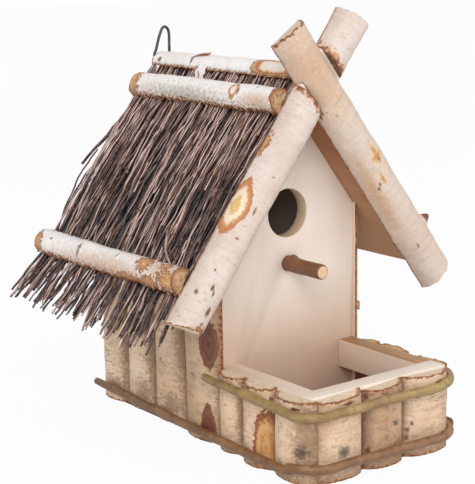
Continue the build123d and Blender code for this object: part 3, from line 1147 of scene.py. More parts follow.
@dataclass
class Battens:
    """Split poles that hold the thatch down, two on each slope and one along the ridge."""

    finishes: Finishes
    left: Slope
    right: Slope
    width: float = 17.5
    thickness: float = 9.5
    base: float = ROOF_BOARD_THICKNESS + THATCH_THICKNESS
    start_cut: EndCut = EndCut(0.2, 0.25, 0.9)
    end_cut: EndCut = EndCut(-0.15, -0.2, 1.0)
    first_seed: float = 60.0
    seed_step: float = 2.3
    rim: float = 3.2
    ridge_rim: float = 0.9
    places: dict[str, float] = field(default_factory=lambda: {
        "left_upper_batten": 12.0, "left_lower_batten": 141.45, "right_upper_batten": 12.0,
        "right_lower_batten": 141.45, "ridge_batten": 0.0})
    marks: dict[str, tuple[Blemish, ...]] = field(default_factory=lambda: {
        "left_upper_batten": (
            Mark.PEEL(158, -10, 8, 18), Mark.WINDOW(41, 2, 5.2, 7.5, 0.0, 1.3), Mark.MOSS(98, -46, 62, 9),
            Mark.SCAR(20, 30, 1.2, 1.2), Mark.SCAR(36, -2, 1.4, 3.6), Mark.BLUSH(15, -40, 26, 8)),
        "left_lower_batten": (
            Mark.PEEL(5, -34, 13, 8, -0.4), Mark.PEEL(35, 24, 8, 7, 0.5), Mark.PEEL(26, -58, 12, 5),
            Mark.PEEL(50, -66, 16, 4), Mark.PEEL(14, 36, 6, 4), Mark.BLUSH(70, -50, 90, 11),
            Mark.BLUSH(10, 10, 46, 16), Mark.SCAR(147, 4, 1.8, 1.6), Mark.STAIN(109.5, -8, 2.2, 8),
            Mark.SCAR(66, 20, 0.8, 3), Mark.PEEL(163, -30, 6, 9)),
        "right_upper_batten": (Mark.PEEL(90, -30, 16, 5), Mark.SCAR(50, 20, 2, 4)),
        "right_lower_batten": (Mark.KNOT(60, 10, 6, 5, 0.5), Mark.PEEL(130, -40, 14, 5)),
        "ridge_batten": (
            Mark.WINDOW(26, -44, 25, 7.5, 0.3, 4.0), Mark.SCAR(154, -62, 3, 2.5), Mark.SCAR(116, -50, 1.4, 5.0)),
    })

    def lay(self, node: str) -> tuple[Vector, Vector, Vector]:
        """Where a batten lies.

        Args:
            node: Solid of the batten.

        Returns:
            Front end of its middle line, and its directions across and out.
        """
        low = node_box(node)[0]
        if node == "ridge_batten":
            return Vector((0, low.y, low.z)), RIGHT, UP
        slope = self.left if node.startswith("left") else self.right
        return slope.point(self.places[node], low.y, self.base), -slope.down, slope.out

    def build(self) -> None:
        """Build the battens on both slopes and the one on the ridge."""
        kit = self.finishes
        for index, node in enumerate(self.places):
            foot, across, out = self.lay(node)
            low, high = node_box(node)
            seed = self.first_seed + index * self.seed_step
            rim = self.ridge_rim if node == "ridge_batten" else self.rim
            pole = HalfLog(node, foot, BACK, across, out, high.y - low.y, self.width, self.thickness, kit.bright_bark,
                           seed, start_cut=self.start_cut, end_cut=self.end_cut, blemishes=self.marks[node], waver=0.6,
                           bow=0.7, rim=rim, soiled=3.0, fray=2.4)
            settle(pole.build(kit.dark_end, kit.roof_board), "birch_bark", node)


@dataclass
class BarkFlake:
    """Loose strip of bark: a thin ribbon along a path, ragged and brown at its edges."""

    name: str
    path: tuple[tuple[float, float, float], ...]
    across: Vector
    width: float
    bark: Material
    seed: float
    thickness: float = 0.7
    rim: float = 0.7
    ragged: float = 0.35
    ragged_rate: float = 7.0
    end_reach: float = 12.0
    rows: int = 16
    columns: int = 6

    def build(self) -> None:
        """Build the ribbon as a closed shell."""
        stops = np.array(self.path)
        share = np.linspace(0, 1, self.rows + 1)
        spine = np.stack([np.interp(share, np.linspace(0, 1, len(stops)), stops[:, axis]) for axis in range(3)], axis=1)
        heading = np.gradient(spine, axis=0)
        across = np.array(self.across)
        out = np.cross(heading, across)
        out /= np.linalg.norm(out, axis=1, keepdims=True)
        side = np.linspace(-0.5, 0.5, self.columns + 1)
        ragged = 1 + self.ragged * fractal(np.stack([share * self.ragged_rate, 0 * share], axis=1), self.seed)
        flat = spine[:, None, :] + across * (side[None, :] * self.width * ragged[:, None])[..., None]
        top = (flat + out[:, None, :] * self.thickness / 2).reshape(-1, 3)
        bottom = (flat - out[:, None, :] * self.thickness / 2).reshape(-1, 3)
        count = self.columns + 1
        faces: list = []
        for row in range(self.rows):
            for column in range(self.columns):
                corner = row * count + column
                quad = (corner, corner + 1, corner + count + 1, corner + count)
                faces.append(quad)
                faces.append(tuple(len(top) + index for index in quad))
        border = ([column for column in range(count)] + [row * count + self.columns for row in range(1, self.rows + 1)]
                  + [self.rows * count + column for column in range(self.columns - 1, -1, -1)]
                  + [row * count for row in range(self.rows - 1, 0, -1)])
        for here, there in zip(border, border[1:] + border[:1]):
            faces.append((here, there, len(top) + there, len(top) + here))
        total = 2 * len(top)
        near_end = np.minimum(share, 1 - share)[:, None] * self.end_reach
        near = np.minimum(near_end, (0.5 - np.abs(side))[None, :] * self.width)
        fields = {mark.value: np.full(total, NO_BLEMISH) for mark in Mark}
        fields["bark_joint"] = np.full(total, NO_BLEMISH)
        fields["bark_edge"] = np.tile(near.ravel() / self.rim, 2)
        fields["bark_place"] = np.concatenate([top, bottom])
        piece = make_mesh(self.name, np.concatenate([top, bottom]), faces, [0] * len(faces), [self.bark], fields)
        settle(piece, "birch_bark")


class GrowthTree:
    """Geometry node tree with named inputs that grows rods and gives them back as a plain mesh."""

    def __init__(self, name: str, inputs: dict[str, str]) -> None:
        """Start the tree.

        Args:
            name: Name of the tree.
            inputs: Socket type of each named input.
        """
        self.tree = bpy.data.node_groups.new(name, "GeometryNodeTree")
        self.tree.interface.new_socket("Geometry", in_out="INPUT", socket_type="NodeSocketGeometry")
        self.identifiers = {}
        for key, kind in inputs.items():
            socket = self.tree.interface.new_socket(key, in_out="INPUT", socket_type=kind)
            self.identifiers[key] = socket.identifier
        self.tree.interface.new_socket("Geometry", in_out="OUTPUT", socket_type="NodeSocketGeometry")
        self.entry = add_node(self.tree, "NodeGroupInput").outputs
        self.wire()

    def wire(self) -> None:
        """Add the nodes; each kind of tree has its own."""

    def add(self, kind: str, *values: Any, **settings: Any) -> Node:
        """Add a node with its inputs in order, as add_node does."""
        return add_node(self.tree, kind, dict(enumerate(values)), **settings)

    def skin(self, curve: Node, radius: Node) -> None:
        """Turn curves into rods with a material and end the tree.

        Args:
            curve: Curves to skin.
            radius: Radius at each point.
        """
        profile = add_node(self.tree, "GeometryNodeCurvePrimitiveCircle",
                           {"Resolution": self.entry["Sides"], "Radius": 1.0})
        rods = add_node(self.tree, "GeometryNodeCurveToMesh",
                        {"Curve": curve, "Profile Curve": profile, "Scale": radius, "Fill Caps": True})
        smooth = add_node(self.tree, "GeometryNodeSetShadeSmooth", {"Geometry": rods})
        real = add_node(self.tree, "GeometryNodeRealizeInstances", {"Geometry": smooth})
        dressed = add_node(self.tree, "GeometryNodeSetMaterial", {"Geometry": real, "Material": self.entry["Material"]})
        add_node(self.tree, "NodeGroupOutput", {"Geometry": dressed})

    def grow(self, name: str, points: list, edges: list, values: dict[str, Any]) -> bpy.types.Mesh:
        """Run the tree on a carrier and return a plain mesh.

        Args:
            name: Name of the mesh.
            points: Points of the carrier in metres.
            edges: Edges of the carrier.
            values: Value of each named input.

        Returns:
            The grown mesh.
        """
        carrier_mesh = bpy.data.meshes.new(name + "_carrier")
        carrier_mesh.from_pydata(points, edges, [])
        carrier = add_object(name + "_carrier", carrier_mesh)
        modifier = carrier.modifiers.new("growth", "NODES")
        modifier.node_group = self.tree
        for key, value in values.items():
            modifier[self.identifiers[key]] = value
        depsgraph = bpy.context.evaluated_depsgraph_get()
        grown = bpy.data.meshes.new_from_object(carrier.evaluated_get(depsgraph), preserve_all_data_layers=True,
                                                depsgraph=depsgraph)
        grown.name = name
        carrier.modifiers.remove(modifier)
        bpy.data.objects.remove(carrier)
        bpy.data.meshes.remove(carrier_mesh)
        return grown


class TwigLayerTree(GrowthTree):
    """Layer of twigs laid side by side down a slope: X runs down, Y along the ridge and Z out."""

    tone_shift = 53.0
    drift_rate = (16.0, 70.0, 70.0)
    knot_rate = (75.0, 400.0, 400.0)
    clump_rate = 42.0
    fray_rate = 55.0
    back_trim = 0.42

    def __init__(self) -> None:
        """Start the tree with the layer's inputs."""
        numbers = ("Pitch", "Start", "Top", "Run", "Run Spread", "Trim", "Front", "Inward", "Height", "Depth", "Thin",
                   "Thick", "Sway", "Kink", "Yaw", "Clump", "Eave", "Tips", "Middle", "Splay", "Fray", "Bulge",
                   "Bulge Start", "Bulge End", "Slack", "Back", "Dark", "Light")
        inputs = {"Twigs": "NodeSocketInt", "Seed": "NodeSocketInt", "Sides": "NodeSocketInt",
                  "Steps": "NodeSocketInt", "Material": "NodeSocketMaterial"}
        inputs.update({number: "NodeSocketFloat" for number in numbers})
        super().__init__("twig_layer", inputs)

    def random(self, low: Any, high: Any, shift: int) -> Socket:
        """Random number for each twig.

        Args:
            low: Lowest value.
            high: Highest value.
            shift: What is added to the layer's seed.

        Returns:
            The number at each twig.
        """
        seed = self.add("Math.ADD", self.entry["Seed"], float(shift))
        return add_node(self.tree, "FunctionNodeRandomValue", {2: low, 3: high, "Seed": seed},
                        data_type="FLOAT").outputs[1]

    def either_way(self, amount: Socket, shift: int) -> Socket:
        """Random number for each twig up to an amount either way."""
        return self.random(self.add("Math.MULTIPLY", amount, -1.0), amount, shift)

    def swing(self, along: Socket, rate: float, amount: str) -> Node:
        """Smooth swing either way along the ridge, so that neighbours gather in tufts.

        Args:
            along: Place along the ridge.
            rate: How often it swings for each metre.
            amount: Input that says how far.

        Returns:
            The swing at each twig.
        """
        spot = self.add("Math.MULTIPLY", along, rate)
        shifted = self.add("Math.MULTIPLY_ADD", self.entry["Seed"], 0.37, spot)
        grain = add_node(self.tree, "TexNoise", {"W": shifted, "Scale": 1.0, "Detail": 1.0}, noise_dimensions="1D")
        centred = self.add("Math.SUBTRACT", grain, 0.5)
        return self.add("Math.MULTIPLY", centred, self.entry[amount])

    def lay(self, side: Socket) -> Node:
        """Lay straight twigs, each with its own place, length, lean, tone and girth.

        Args:
            side: Place along the ridge.

        Returns:
            The twigs as curves.
        """
        tree, entry = self.tree, self.entry
        start = self.add("CombineXYZ", entry["Top"], entry["Start"], entry["Height"])
        pitch = self.add("CombineXYZ", 0.0, entry["Pitch"], 0.0)
        line = add_node(tree, "GeometryNodeMeshLine", {"Count": entry["Twigs"], "Start Location": start,
                                                       "Offset": pitch}, mode="OFFSET")
        jitter = self.add("CombineXYZ", self.either_way(entry["Slack"], 1), self.either_way(entry["Pitch"], 2),
                          self.random(0.0, entry["Depth"], 3))
        spread = add_node(tree, "GeometryNodeSetPosition", {"Geometry": line, "Offset": jitter})
        rod = add_node(tree, "GeometryNodeCurvePrimitiveLine", {"Start": (0, 0, 0), "End": (1, 0, 0)})
        short = self.add("Math.SUBTRACT", entry["Run"], entry["Run Spread"])
        trim = self.add("MapRange", side, entry["Front"], entry["Inward"], entry["Trim"], 0.0)
        less = self.add("Math.MULTIPLY", entry["Trim"], self.back_trim)
        back_trim = self.add("MapRange", side, entry["Back"], entry["Inward"], less, 0.0)
        trims = self.add("Math.ADD", trim, back_trim)
        reach = self.add("Math.SUBTRACT", self.random(short, entry["Run"], 4), trims)
        scale = self.add("CombineXYZ", reach, 1.0, 1.0)
        calm = self.add("Math.MINIMUM", self.add("MapRange", side, entry["Front"], entry["Inward"], 0.1, 1.0),
                        self.add("MapRange", side, entry["Back"], entry["Inward"], 0.1, 2.6))
        clump = self.swing(side, self.clump_rate, "Clump")
        lean = self.add("Math.ADD", self.either_way(entry["Yaw"], 5), clump)
        calmed = self.add("Math.MULTIPLY", lean, calm)
        turn = self.add("FunctionNodeEulerToRotation", self.add("CombineXYZ", 0.0, 0.0, calmed))
        twigs = add_node(tree, "GeometryNodeInstanceOnPoints", {"Points": spread, "Instance": rod, "Rotation": turn,
                                                                "Scale": scale})
        traits = {"rod_tone": self.random(entry["Dark"], entry["Light"], 6),
                  "rod_girth": self.random(entry["Thin"], entry["Thick"], 7)}
        for trait, value in traits.items():
            twigs = add_node(tree, "GeometryNodeStoreNamedAttribute", {"Geometry": twigs, "Name": trait,
                                                                       "Value": value},
                             data_type="FLOAT", domain="INSTANCE")
        curves = add_node(tree, "GeometryNodeRealizeInstances", {"Geometry": twigs})
        return add_node(tree, "GeometryNodeResampleCurve", {"Curve": curves, "Count": entry["Steps"]})

    def wire(self) -> None:
        """Lay the twigs, bend them, let them fan out past the eave and give them their girth."""
        tree, entry = self.tree, self.entry
        place = self.add("GeometryNodeInputPosition")
        axes = self.add("SeparateXYZ", place).outputs
        down, side = axes["X"], axes["Y"]
        fine = self.lay(side)
        girth, tone = (add_node(tree, "GeometryNodeInputNamedAttribute", {"Name": trait}, data_type="FLOAT")
                       for trait in ("rod_girth", "rod_tone"))
        share = self.add("GeometryNodeSplineParameter").outputs["Factor"]
        own = self.add("Math.MULTIPLY", tone, self.tone_shift)
        drift = self.add("VectorMath.MULTIPLY_ADD", place, self.drift_rate, own)
        knots = self.add("VectorMath.MULTIPLY_ADD", place, self.knot_rate, own)
        bends = []
        for vector, amount in ((drift, "Sway"), (knots, "Kink")):
            grain = add_node(tree, "TexNoise", {"Vector": vector, "Scale": 1.0, "Detail": 1.0}).outputs["Color"]
            centred = self.add("VectorMath.SUBTRACT", grain, (0.5, 0.5, 0.5))
            bends.append(add_node(tree, "VectorMath.SCALE", {0: centred, "Scale": entry[amount]}))
        loose = self.add("Math.MULTIPLY_ADD", share, 0.75, 0.35)
        sway = add_node(tree, "VectorMath.SCALE", {0: bends[0], "Scale": loose})
        bend = self.add("VectorMath.ADD", sway, bends[1])
        arch = self.add("MapRange", down, entry["Bulge Start"], entry["Bulge End"], 0.0, math.pi)
        rise = self.add("Math.MULTIPLY", self.add("Math.SINE", arch), entry["Bulge"])
        off_middle = self.add("Math.SUBTRACT", side, entry["Middle"])
        fan = self.add("Math.MULTIPLY", off_middle, entry["Splay"])
        tufts = self.add("Math.ADD", fan, self.swing(side, self.fray_rate, "Fray"))
        past = self.add("MapRange", down, entry["Eave"], entry["Tips"], 0.0, 1.0)
        aside = self.add("Math.MULTIPLY", tufts, past)
        moved = self.add("VectorMath.ADD", bend, self.add("CombineXYZ", 0.0, aside, rise))
        bent = add_node(tree, "GeometryNodeSetPosition", {"Geometry": fine, "Offset": moved})
        taper = self.add("Math.MULTIPLY_ADD", share, 0.55, 0.65)
        lump = add_node(tree, "TexNoise", {"Vector": knots, "Scale": 1.6, "Detail": 0.0})
        swell = self.add("Math.MULTIPLY_ADD", lump, 0.6, 0.7)
        tapered = self.add("Math.MULTIPLY", girth, taper)
        self.skin(bent, self.add("Math.MULTIPLY", tapered, swell))


class RodTree(GrowthTree):
    """Bent rod along a path of points, wavy and thinner at its tip."""

    lengths = ("radius", "tip_length", "butt_length", "sway", "step")

    def __init__(self) -> None:
        """Start the tree with the rod's inputs."""
        numbers = ("Radius", "Tip", "Tip Length", "Butt", "Butt Length", "Sway", "Wave", "Step", "Tone", "Lump")
        inputs = {"Sides": "NodeSocketInt", "Seed": "NodeSocketFloat", "Material": "NodeSocketMaterial"}
        inputs.update({number: "NodeSocketFloat" for number in numbers})
        super().__init__("bent_rod", inputs)

    def wire(self) -> None:
        """Follow the path, wave it and give it its girth."""
        tree, entry = self.tree, self.entry
        path = add_node(tree, "GeometryNodeMeshToCurve", {"Mesh": entry["Geometry"]})
        smooth = add_node(tree, "GeometryNodeCurveSplineType", {"Curve": path}, spline_type="CATMULL_ROM")
        fine = add_node(tree, "GeometryNodeResampleCurve", {"Curve": smooth, "Length": entry["Step"]}, mode="LENGTH")
        toned = add_node(tree, "GeometryNodeStoreNamedAttribute", {"Geometry": fine, "Name": "rod_tone",
                                                                   "Value": entry["Tone"]},
                         data_type="FLOAT", domain="POINT")
        place = self.add("GeometryNodeInputPosition")
        waved = add_node(tree, "VectorMath.SCALE", {0: place, "Scale": entry["Wave"]})
        seeded = self.add("VectorMath.ADD", waved, entry["Seed"])
        grain = add_node(tree, "TexNoise", {"Vector": seeded, "Scale": 1.0, "Detail": 1.0})
        centred = self.add("VectorMath.SUBTRACT", grain.outputs["Color"], (0.5, 0.5, 0.5))
        offset = add_node(tree, "VectorMath.SCALE", {0: centred, "Scale": entry["Sway"]})
        bent = add_node(tree, "GeometryNodeSetPosition", {"Geometry": toned, "Offset": offset})
        done = self.add("GeometryNodeSplineParameter").outputs["Length"]
        whole = self.add("GeometryNodeSplineLength").outputs["Length"]
        rest = self.add("Math.SUBTRACT", whole, done)
        tip = self.add("MapRange", done, 0.0, entry["Tip Length"], entry["Tip"], 1.0)
        butt = self.add("MapRange", rest, 0.0, entry["Butt Length"], entry["Butt"], 1.0)
        lump = self.add("Math.MULTIPLY_ADD", grain, entry["Lump"], 1.0)
        radius = entry["Radius"]
        for factor in (tip, butt, lump):
            radius = self.add("Math.MULTIPLY", radius, factor)
        self.skin(bent, radius)

    def bend(self, name: str, path: list, material: Material, **values: float) -> bpy.types.Mesh:
        """Bend a rod along a path.

        Args:
            name: Name of the rod's mesh.
            path: Points in millimetres.
            material: Skin of the rod.
            **values: Other inputs of the tree by their names in lower case, with lengths in millimetres.

        Returns:
            The rod's mesh.
        """
        points = [tuple(Vector(place) * MM) for place in path]
        edges = [(step, step + 1) for step in range(len(points) - 1)]
        inputs = {"Material": material}
        for key, value in values.items():
            inputs[key.replace("_", " ").title()] = value * MM if key in self.lengths else value
        return self.grow(name, points, edges, inputs)


def join_meshes(name: str, meshes: list[bpy.types.Mesh]) -> Piece:
    """Join meshes, each of one material, into one piece.

    Args:
        name: Name of the piece.
        meshes: Meshes in one frame.

    Returns:
        The piece as an object at the origin.
    """
    shell = bmesh.new()
    barks = list(dict.fromkeys(mesh.materials[0] for mesh in meshes))
    for mesh in meshes:
        mesh.polygons.foreach_set("material_index", [barks.index(mesh.materials[0])] * len(mesh.polygons))
        shell.from_mesh(mesh)
    joined = bpy.data.meshes.new(name)
    for bark in barks:
        joined.materials.append(bark)
    shell.to_mesh(joined)
    shell.free()
    joined.set_sharp_from_angle(angle=math.radians(ROD_SHARP_DEG))
    return add_object(name, joined)


@dataclass(frozen=True)
class TwigLayer:
    """One layer of the thatch, in millimetres and degrees; its reach is the share of the fringe that it covers."""

    pitch: float
    height: float
    depth: float
    thin: float
    thick: float
    dark: float
    light: float
    seed: int
    reach: float = 1.0
    run_spread: float = 16.0
    sway: float = 9.0
    kink: float = 3.0
    yaw: float = 1.5
    clump: float = 9.0
    fray: float = 22.0
    bulge: float = 0.0
    steps: int = 48
    front_gap: float = 0.0
    back_gap: float = 0.0
    shoot: float = 0.0
    budded: bool = False


@dataclass(frozen=True)
class Stray:
    """Loose twig, by points down the slope, along the ridge and out of the roof, and its radius."""

    path: tuple[tuple[float, float, float], ...]
    radius: float


@dataclass
class Thatch:
    """Twig thatch on one slope: layers of twigs, loose strays and a fringe past the eave."""

    slope: Slope
    tree: TwigLayerTree
    rods: RodTree
    twig: Material
    bud: Material
    fringe: float
    top: float = -5.0
    eave: float = 146.45
    bulge_span: tuple[float, float] = (22.0, 132.0)
    middle: float = 30.0
    splay: float = 0.12
    full_fringe: float = 20.0
    most_trim: float = 14.0
    trim_width: float = 34.0
    fan_length: float = 43.0
    right_seed: int = 7
    strays: tuple[Stray, ...] = ()
    layers: tuple[TwigLayer, ...] = (
        # The lowest layer is near-black, painted shade under the twigs; the upper layers reach the pale tones, partly
        # painted highlight.
        TwigLayer(2.1, 9.2, 1.0, 1.2, 1.6, 0.0, 0.08, 3, reach=0.14, run_spread=5.0, sway=2.0, clump=2.0, steps=16),
        TwigLayer(2.6, 11.0, 1.4, 0.5, 0.8, 0.0, 0.35, 17, reach=0.88, run_spread=24.0),
        TwigLayer(2.15, 12.6, 1.5, 0.4, 0.7, 0.0, 0.95, 29, yaw=3.4, clump=13.0, bulge=1.2, run_spread=11.0),
        TwigLayer(2.8, 13.9, 1.2, 0.34, 0.6, 0.3, 1.3, 43, yaw=5.2, clump=16.0, bulge=2.4, front_gap=16.0,
                  run_spread=13.0),
        TwigLayer(2.6, 14.4, 2.6, 0.35, 0.6, 0.25, 1.1, 57, run_spread=34.0, yaw=13.0, bulge=2.0, steps=18,
                  front_gap=12.0, back_gap=6.0, shoot=58.0),
        TwigLayer(1.5, 14.6, 2.8, 0.3, 0.5, 0.3, 0.95, 71, run_spread=12.0, yaw=34.0, bulge=2.4, steps=8,
                  front_gap=14.0, back_gap=12.0, shoot=16.0, budded=True),
    )

    def numbers(self, layer: TwigLayer, low: float, high: float) -> dict[str, Any]:
        """Inputs of one layer's tree.

        Args:
            layer: The layer.
            low: Front end of the thatch along the ridge.
            high: Back end of the thatch along the ridge.

        Returns:
            Value of each named input, with lengths in metres.
        """
        turned = -1.0 if self.slope.side is Side.LEFT else 1.0
        front, back = low + layer.front_gap, high - layer.back_gap
        count = int((back - front) / layer.pitch)
        first = min(front * turned, back * turned) + layer.pitch / 2
        reach = self.fringe * layer.reach
        run = layer.shoot or self.eave + reach - self.top
        slack = (self.eave + reach - layer.shoot - self.top) / 2 if layer.shoot else 2.0
        top = self.top + slack if layer.shoot else self.top
        spread = layer.run_spread if layer.shoot else layer.run_spread * min(1.0, self.fringe / self.full_fringe)
        lengths = {
            "Start": first, "Top": top, "Run": run, "Run Spread": spread, "Trim": min(self.most_trim, reach / 3),
            "Front": low * turned, "Inward": (low + self.trim_width) * turned, "Back": high * turned,
            "Middle": self.middle * turned, "Eave": self.eave, "Tips": self.eave + self.fan_length,
            "Bulge Start": self.bulge_span[0], "Bulge End": self.bulge_span[1], "Slack": slack,
        }
        for key in ("pitch", "height", "depth", "thin", "thick", "sway", "kink", "fray", "bulge"):
            lengths[key.title()] = getattr(layer, key)
        values = {key: length * MM for key, length in lengths.items()}
        values.update({
            "Twigs": count, "Seed": layer.seed + self.right_seed * (self.slope.side is Side.RIGHT), "Sides": 6,
            "Steps": layer.steps, "Material": self.bud if layer.budded else self.twig, "Yaw": math.radians(layer.yaw),
            "Clump": math.radians(layer.clump), "Splay": self.splay, "Dark": layer.dark, "Light": layer.light})
        return values

    def build(self) -> None:
        """Grow the layers and strays and set them on the slope."""
        node = f"{self.slope.side.name.lower()}_thatch"
        low, high = node_box(node)
        meshes = []
        for layer in self.layers:
            mesh = self.tree.grow(f"{node}_layer", [(0, 0, 0)], [], self.numbers(layer, low.y, high.y))
            mesh.transform(self.slope.matrix())
            meshes.append(mesh)
        for index, stray in enumerate(self.strays):
            path = [self.slope.point(*place) for place in stray.path]
            meshes.append(self.rods.bend(f"{node}_stray", path, self.twig, sides=6, seed=index * 3.7,
                                         radius=stray.radius, tip=1.0, tip_length=10.0, butt=0.7, butt_length=40.0,
                                         sway=3.0, wave=70.0, step=3.0, tone=0.3 + 0.07 * (index % 8), lump=0.3))
        settle(join_meshes(node, meshes), "twig_thatch", node)


@dataclass
class WithyBand:
    """Split willow rod bent round the tray and the house, with a blunt start."""

    node: str
    rods: RodTree
    bark: Material
    heights: tuple[float, float, float, float]
    corner_radii: tuple[float, float]
    seed: float
    dip: tuple[float, float] | None = None
    tip: float = 0.8
    slimmed: float = 0.93
    corner_steps: int = 7

    def path(self) -> list[Vector]:
        """Way of the band.

        Returns:
            Points along the left side, left corner, front, right corner and right side.
        """
        low, high = node_box(self.node)
        radius = (high.z - low.z) / 2
        left, right = low.x + radius, high.x - radius
        front, back = low.y + radius, high.y
        corners = [(Vector((left, front, 0)), Vector((0, 1, 0)), Vector((1, 0, 0)), self.corner_radii[0]),
                   (Vector((right, front, 0)), Vector((-1, 0, 0)), Vector((0, 1, 0)), self.corner_radii[1])]
        points = [Vector((left, back, 0))]
        if self.dip:
            points.append(Vector((left, self.dip[0], 0)))
        for corner, arrive, leave, bend in corners:
            centre = corner + (arrive + leave) * bend
            for step in range(self.corner_steps + 1):
                turn = step / self.corner_steps * math.pi / 2
                points.append(centre - leave * bend * math.cos(turn) - arrive * bend * math.sin(turn))
        points.append(Vector((right, back, 0)))
        lengths = [0.0]
        for here, there in zip(points, points[1:]):
            lengths.append(lengths[-1] + (there - here).length)
        middle = self.corner_steps // 2 + len(points) - 2 * self.corner_steps - 3
        stops = [0.0, lengths[middle], lengths[1 + self.corner_steps + middle], lengths[-1]]
        heights = list(self.heights)
        if self.dip:
            stops.insert(1, back - self.dip[0])
            heights.insert(1, self.dip[1])
        for point, length in zip(points, lengths):
            point.z = float(np.interp(length, stops, heights))
        return points

    def build(self) -> None:
        """Grow the rod along its path."""
        low, high = node_box(self.node)
        mesh = self.rods.bend(self.node, self.path(), self.bark, sides=14, seed=self.seed,
                              radius=(high.z - low.z) / 2 * self.slimmed, tip=self.tip, tip_length=30.0, butt=0.85,
                              butt_length=20.0, sway=2.4, wave=38.0, step=2.5, tone=0.5, lump=0.14)
        settle(join_meshes(self.node, [mesh]), "withy", self.node)


@dataclass
class WireHanger:
    """Hand-bent wire loop at the back of the ridge: its left leg leans in, and its top is a narrow bow."""

    rods: RodTree
    wire: Material
    node: str = "wire_hanger"

    def build(self) -> None:
        """Grow the wire along its bend."""
        low, high = node_box(self.node)
        radius = (high.y - low.y) / 2
        y = (low.y + high.y) / 2
        left, right, top = low.x + radius, high.x - radius, high.z - radius
        path = [(left, low.z), (left, low.z + 24), (left + 1.6, top - 16), (left + 4.0, top - 8),
                (left + 5.6, top - 4.2), (left + 7.2, top - 1.3), (left + 9.6, top), (right - 0.9, top - 1.9),
                (right, top - 6.5), (right, top - 20), (right, low.z)]
        mesh = self.rods.bend(self.node, [(x, y, z) for x, z in path], self.wire, sides=12, seed=2.0, radius=radius,
                              tip=1.0, tip_length=1.0, butt=1.0, butt_length=1.0, sway=0.5, wave=60.0, step=1.2,
                              tone=0.5, lump=0.05)
        settle(join_meshes(self.node, [mesh]), "black_wire", self.node)


@dataclass
class Perch:
    """Cut twig driven into the front wall under the entrance, with its bark on and a pale cut end."""

    finishes: Finishes
    node: str = "perch"
    step: float = 1.0
    columns: int = 30
    seed: float = 3.3
    lump_length: float = 7.0
    lump_height: float = 0.35
    bud: float = 30.0
    bud_length: float = 2.4
    bud_height: float = 1.5
    worn_length: float = 1.5
    worn: float = 0.06
    cap_shares: tuple[float, ...] = (0.96, 0.9, 0.84, 0.7, 0.5, 0.2)

    def build(self) -> None:
        """Build the twig's bark and both cut ends."""
        low, high = node_box(self.node)
        radius = (high.x - low.x) / 2
        length = high.y - low.y
        rows = round(length / self.step)
        along = np.linspace(0, length, rows + 1)[:, None]
        angle = np.linspace(0, math.tau, self.columns, endpoint=False)[None, :]
        ones = np.ones_like(along * angle)
        samples = np.stack([(along / self.lump_length * ones).ravel(), (np.cos(angle) * ones).ravel(),
                            (np.sin(angle) * ones).ravel()], axis=1)
        lumps = fractal(samples, self.seed).reshape(ones.shape) * self.lump_height
        lumps += self.bud_height * np.exp(-((along - self.bud) / self.bud_length) ** 2) * np.clip(np.sin(angle), 0, 1)
        girth = (radius + lumps) * (1 - self.worn * np.clip(self.worn_length - along, 0, self.worn_length) ** 2)
        x = girth * np.cos(angle)
        z = girth * np.sin(angle)
        y = along * ones
        count = self.columns
        shell = Shell(np.stack([x.ravel(), y.ravel(), z.ravel()], axis=1), radius)
        rings = [list(range(row * count, row * count + count)) for row in range(rows + 1)]
        for here, there in zip(rings, rings[1:]):
            shell.fill(0, here, here[1:] + here[:1], there[1:] + there[:1], there)
        for rim in (rings[0], rings[-1]):
            middle = shell.points[0][rim].mean(axis=0, keepdims=True)
            shell.cap(rim, middle, self.cap_shares, radius, True)
        world = np.concatenate(shell.points) + np.array(((low.x + high.x) / 2, low.y, (low.z + high.z) / 2))
        fields = {"rod_tone": np.full(len(world), 0.5), **shell.fields()}
        materials = [self.finishes.perch_bark, self.finishes.twig_end]
        piece = make_mesh(self.node, world, shell.faces, shell.slots, materials, fields)
        settle(piece, "bark_twig", self.node)


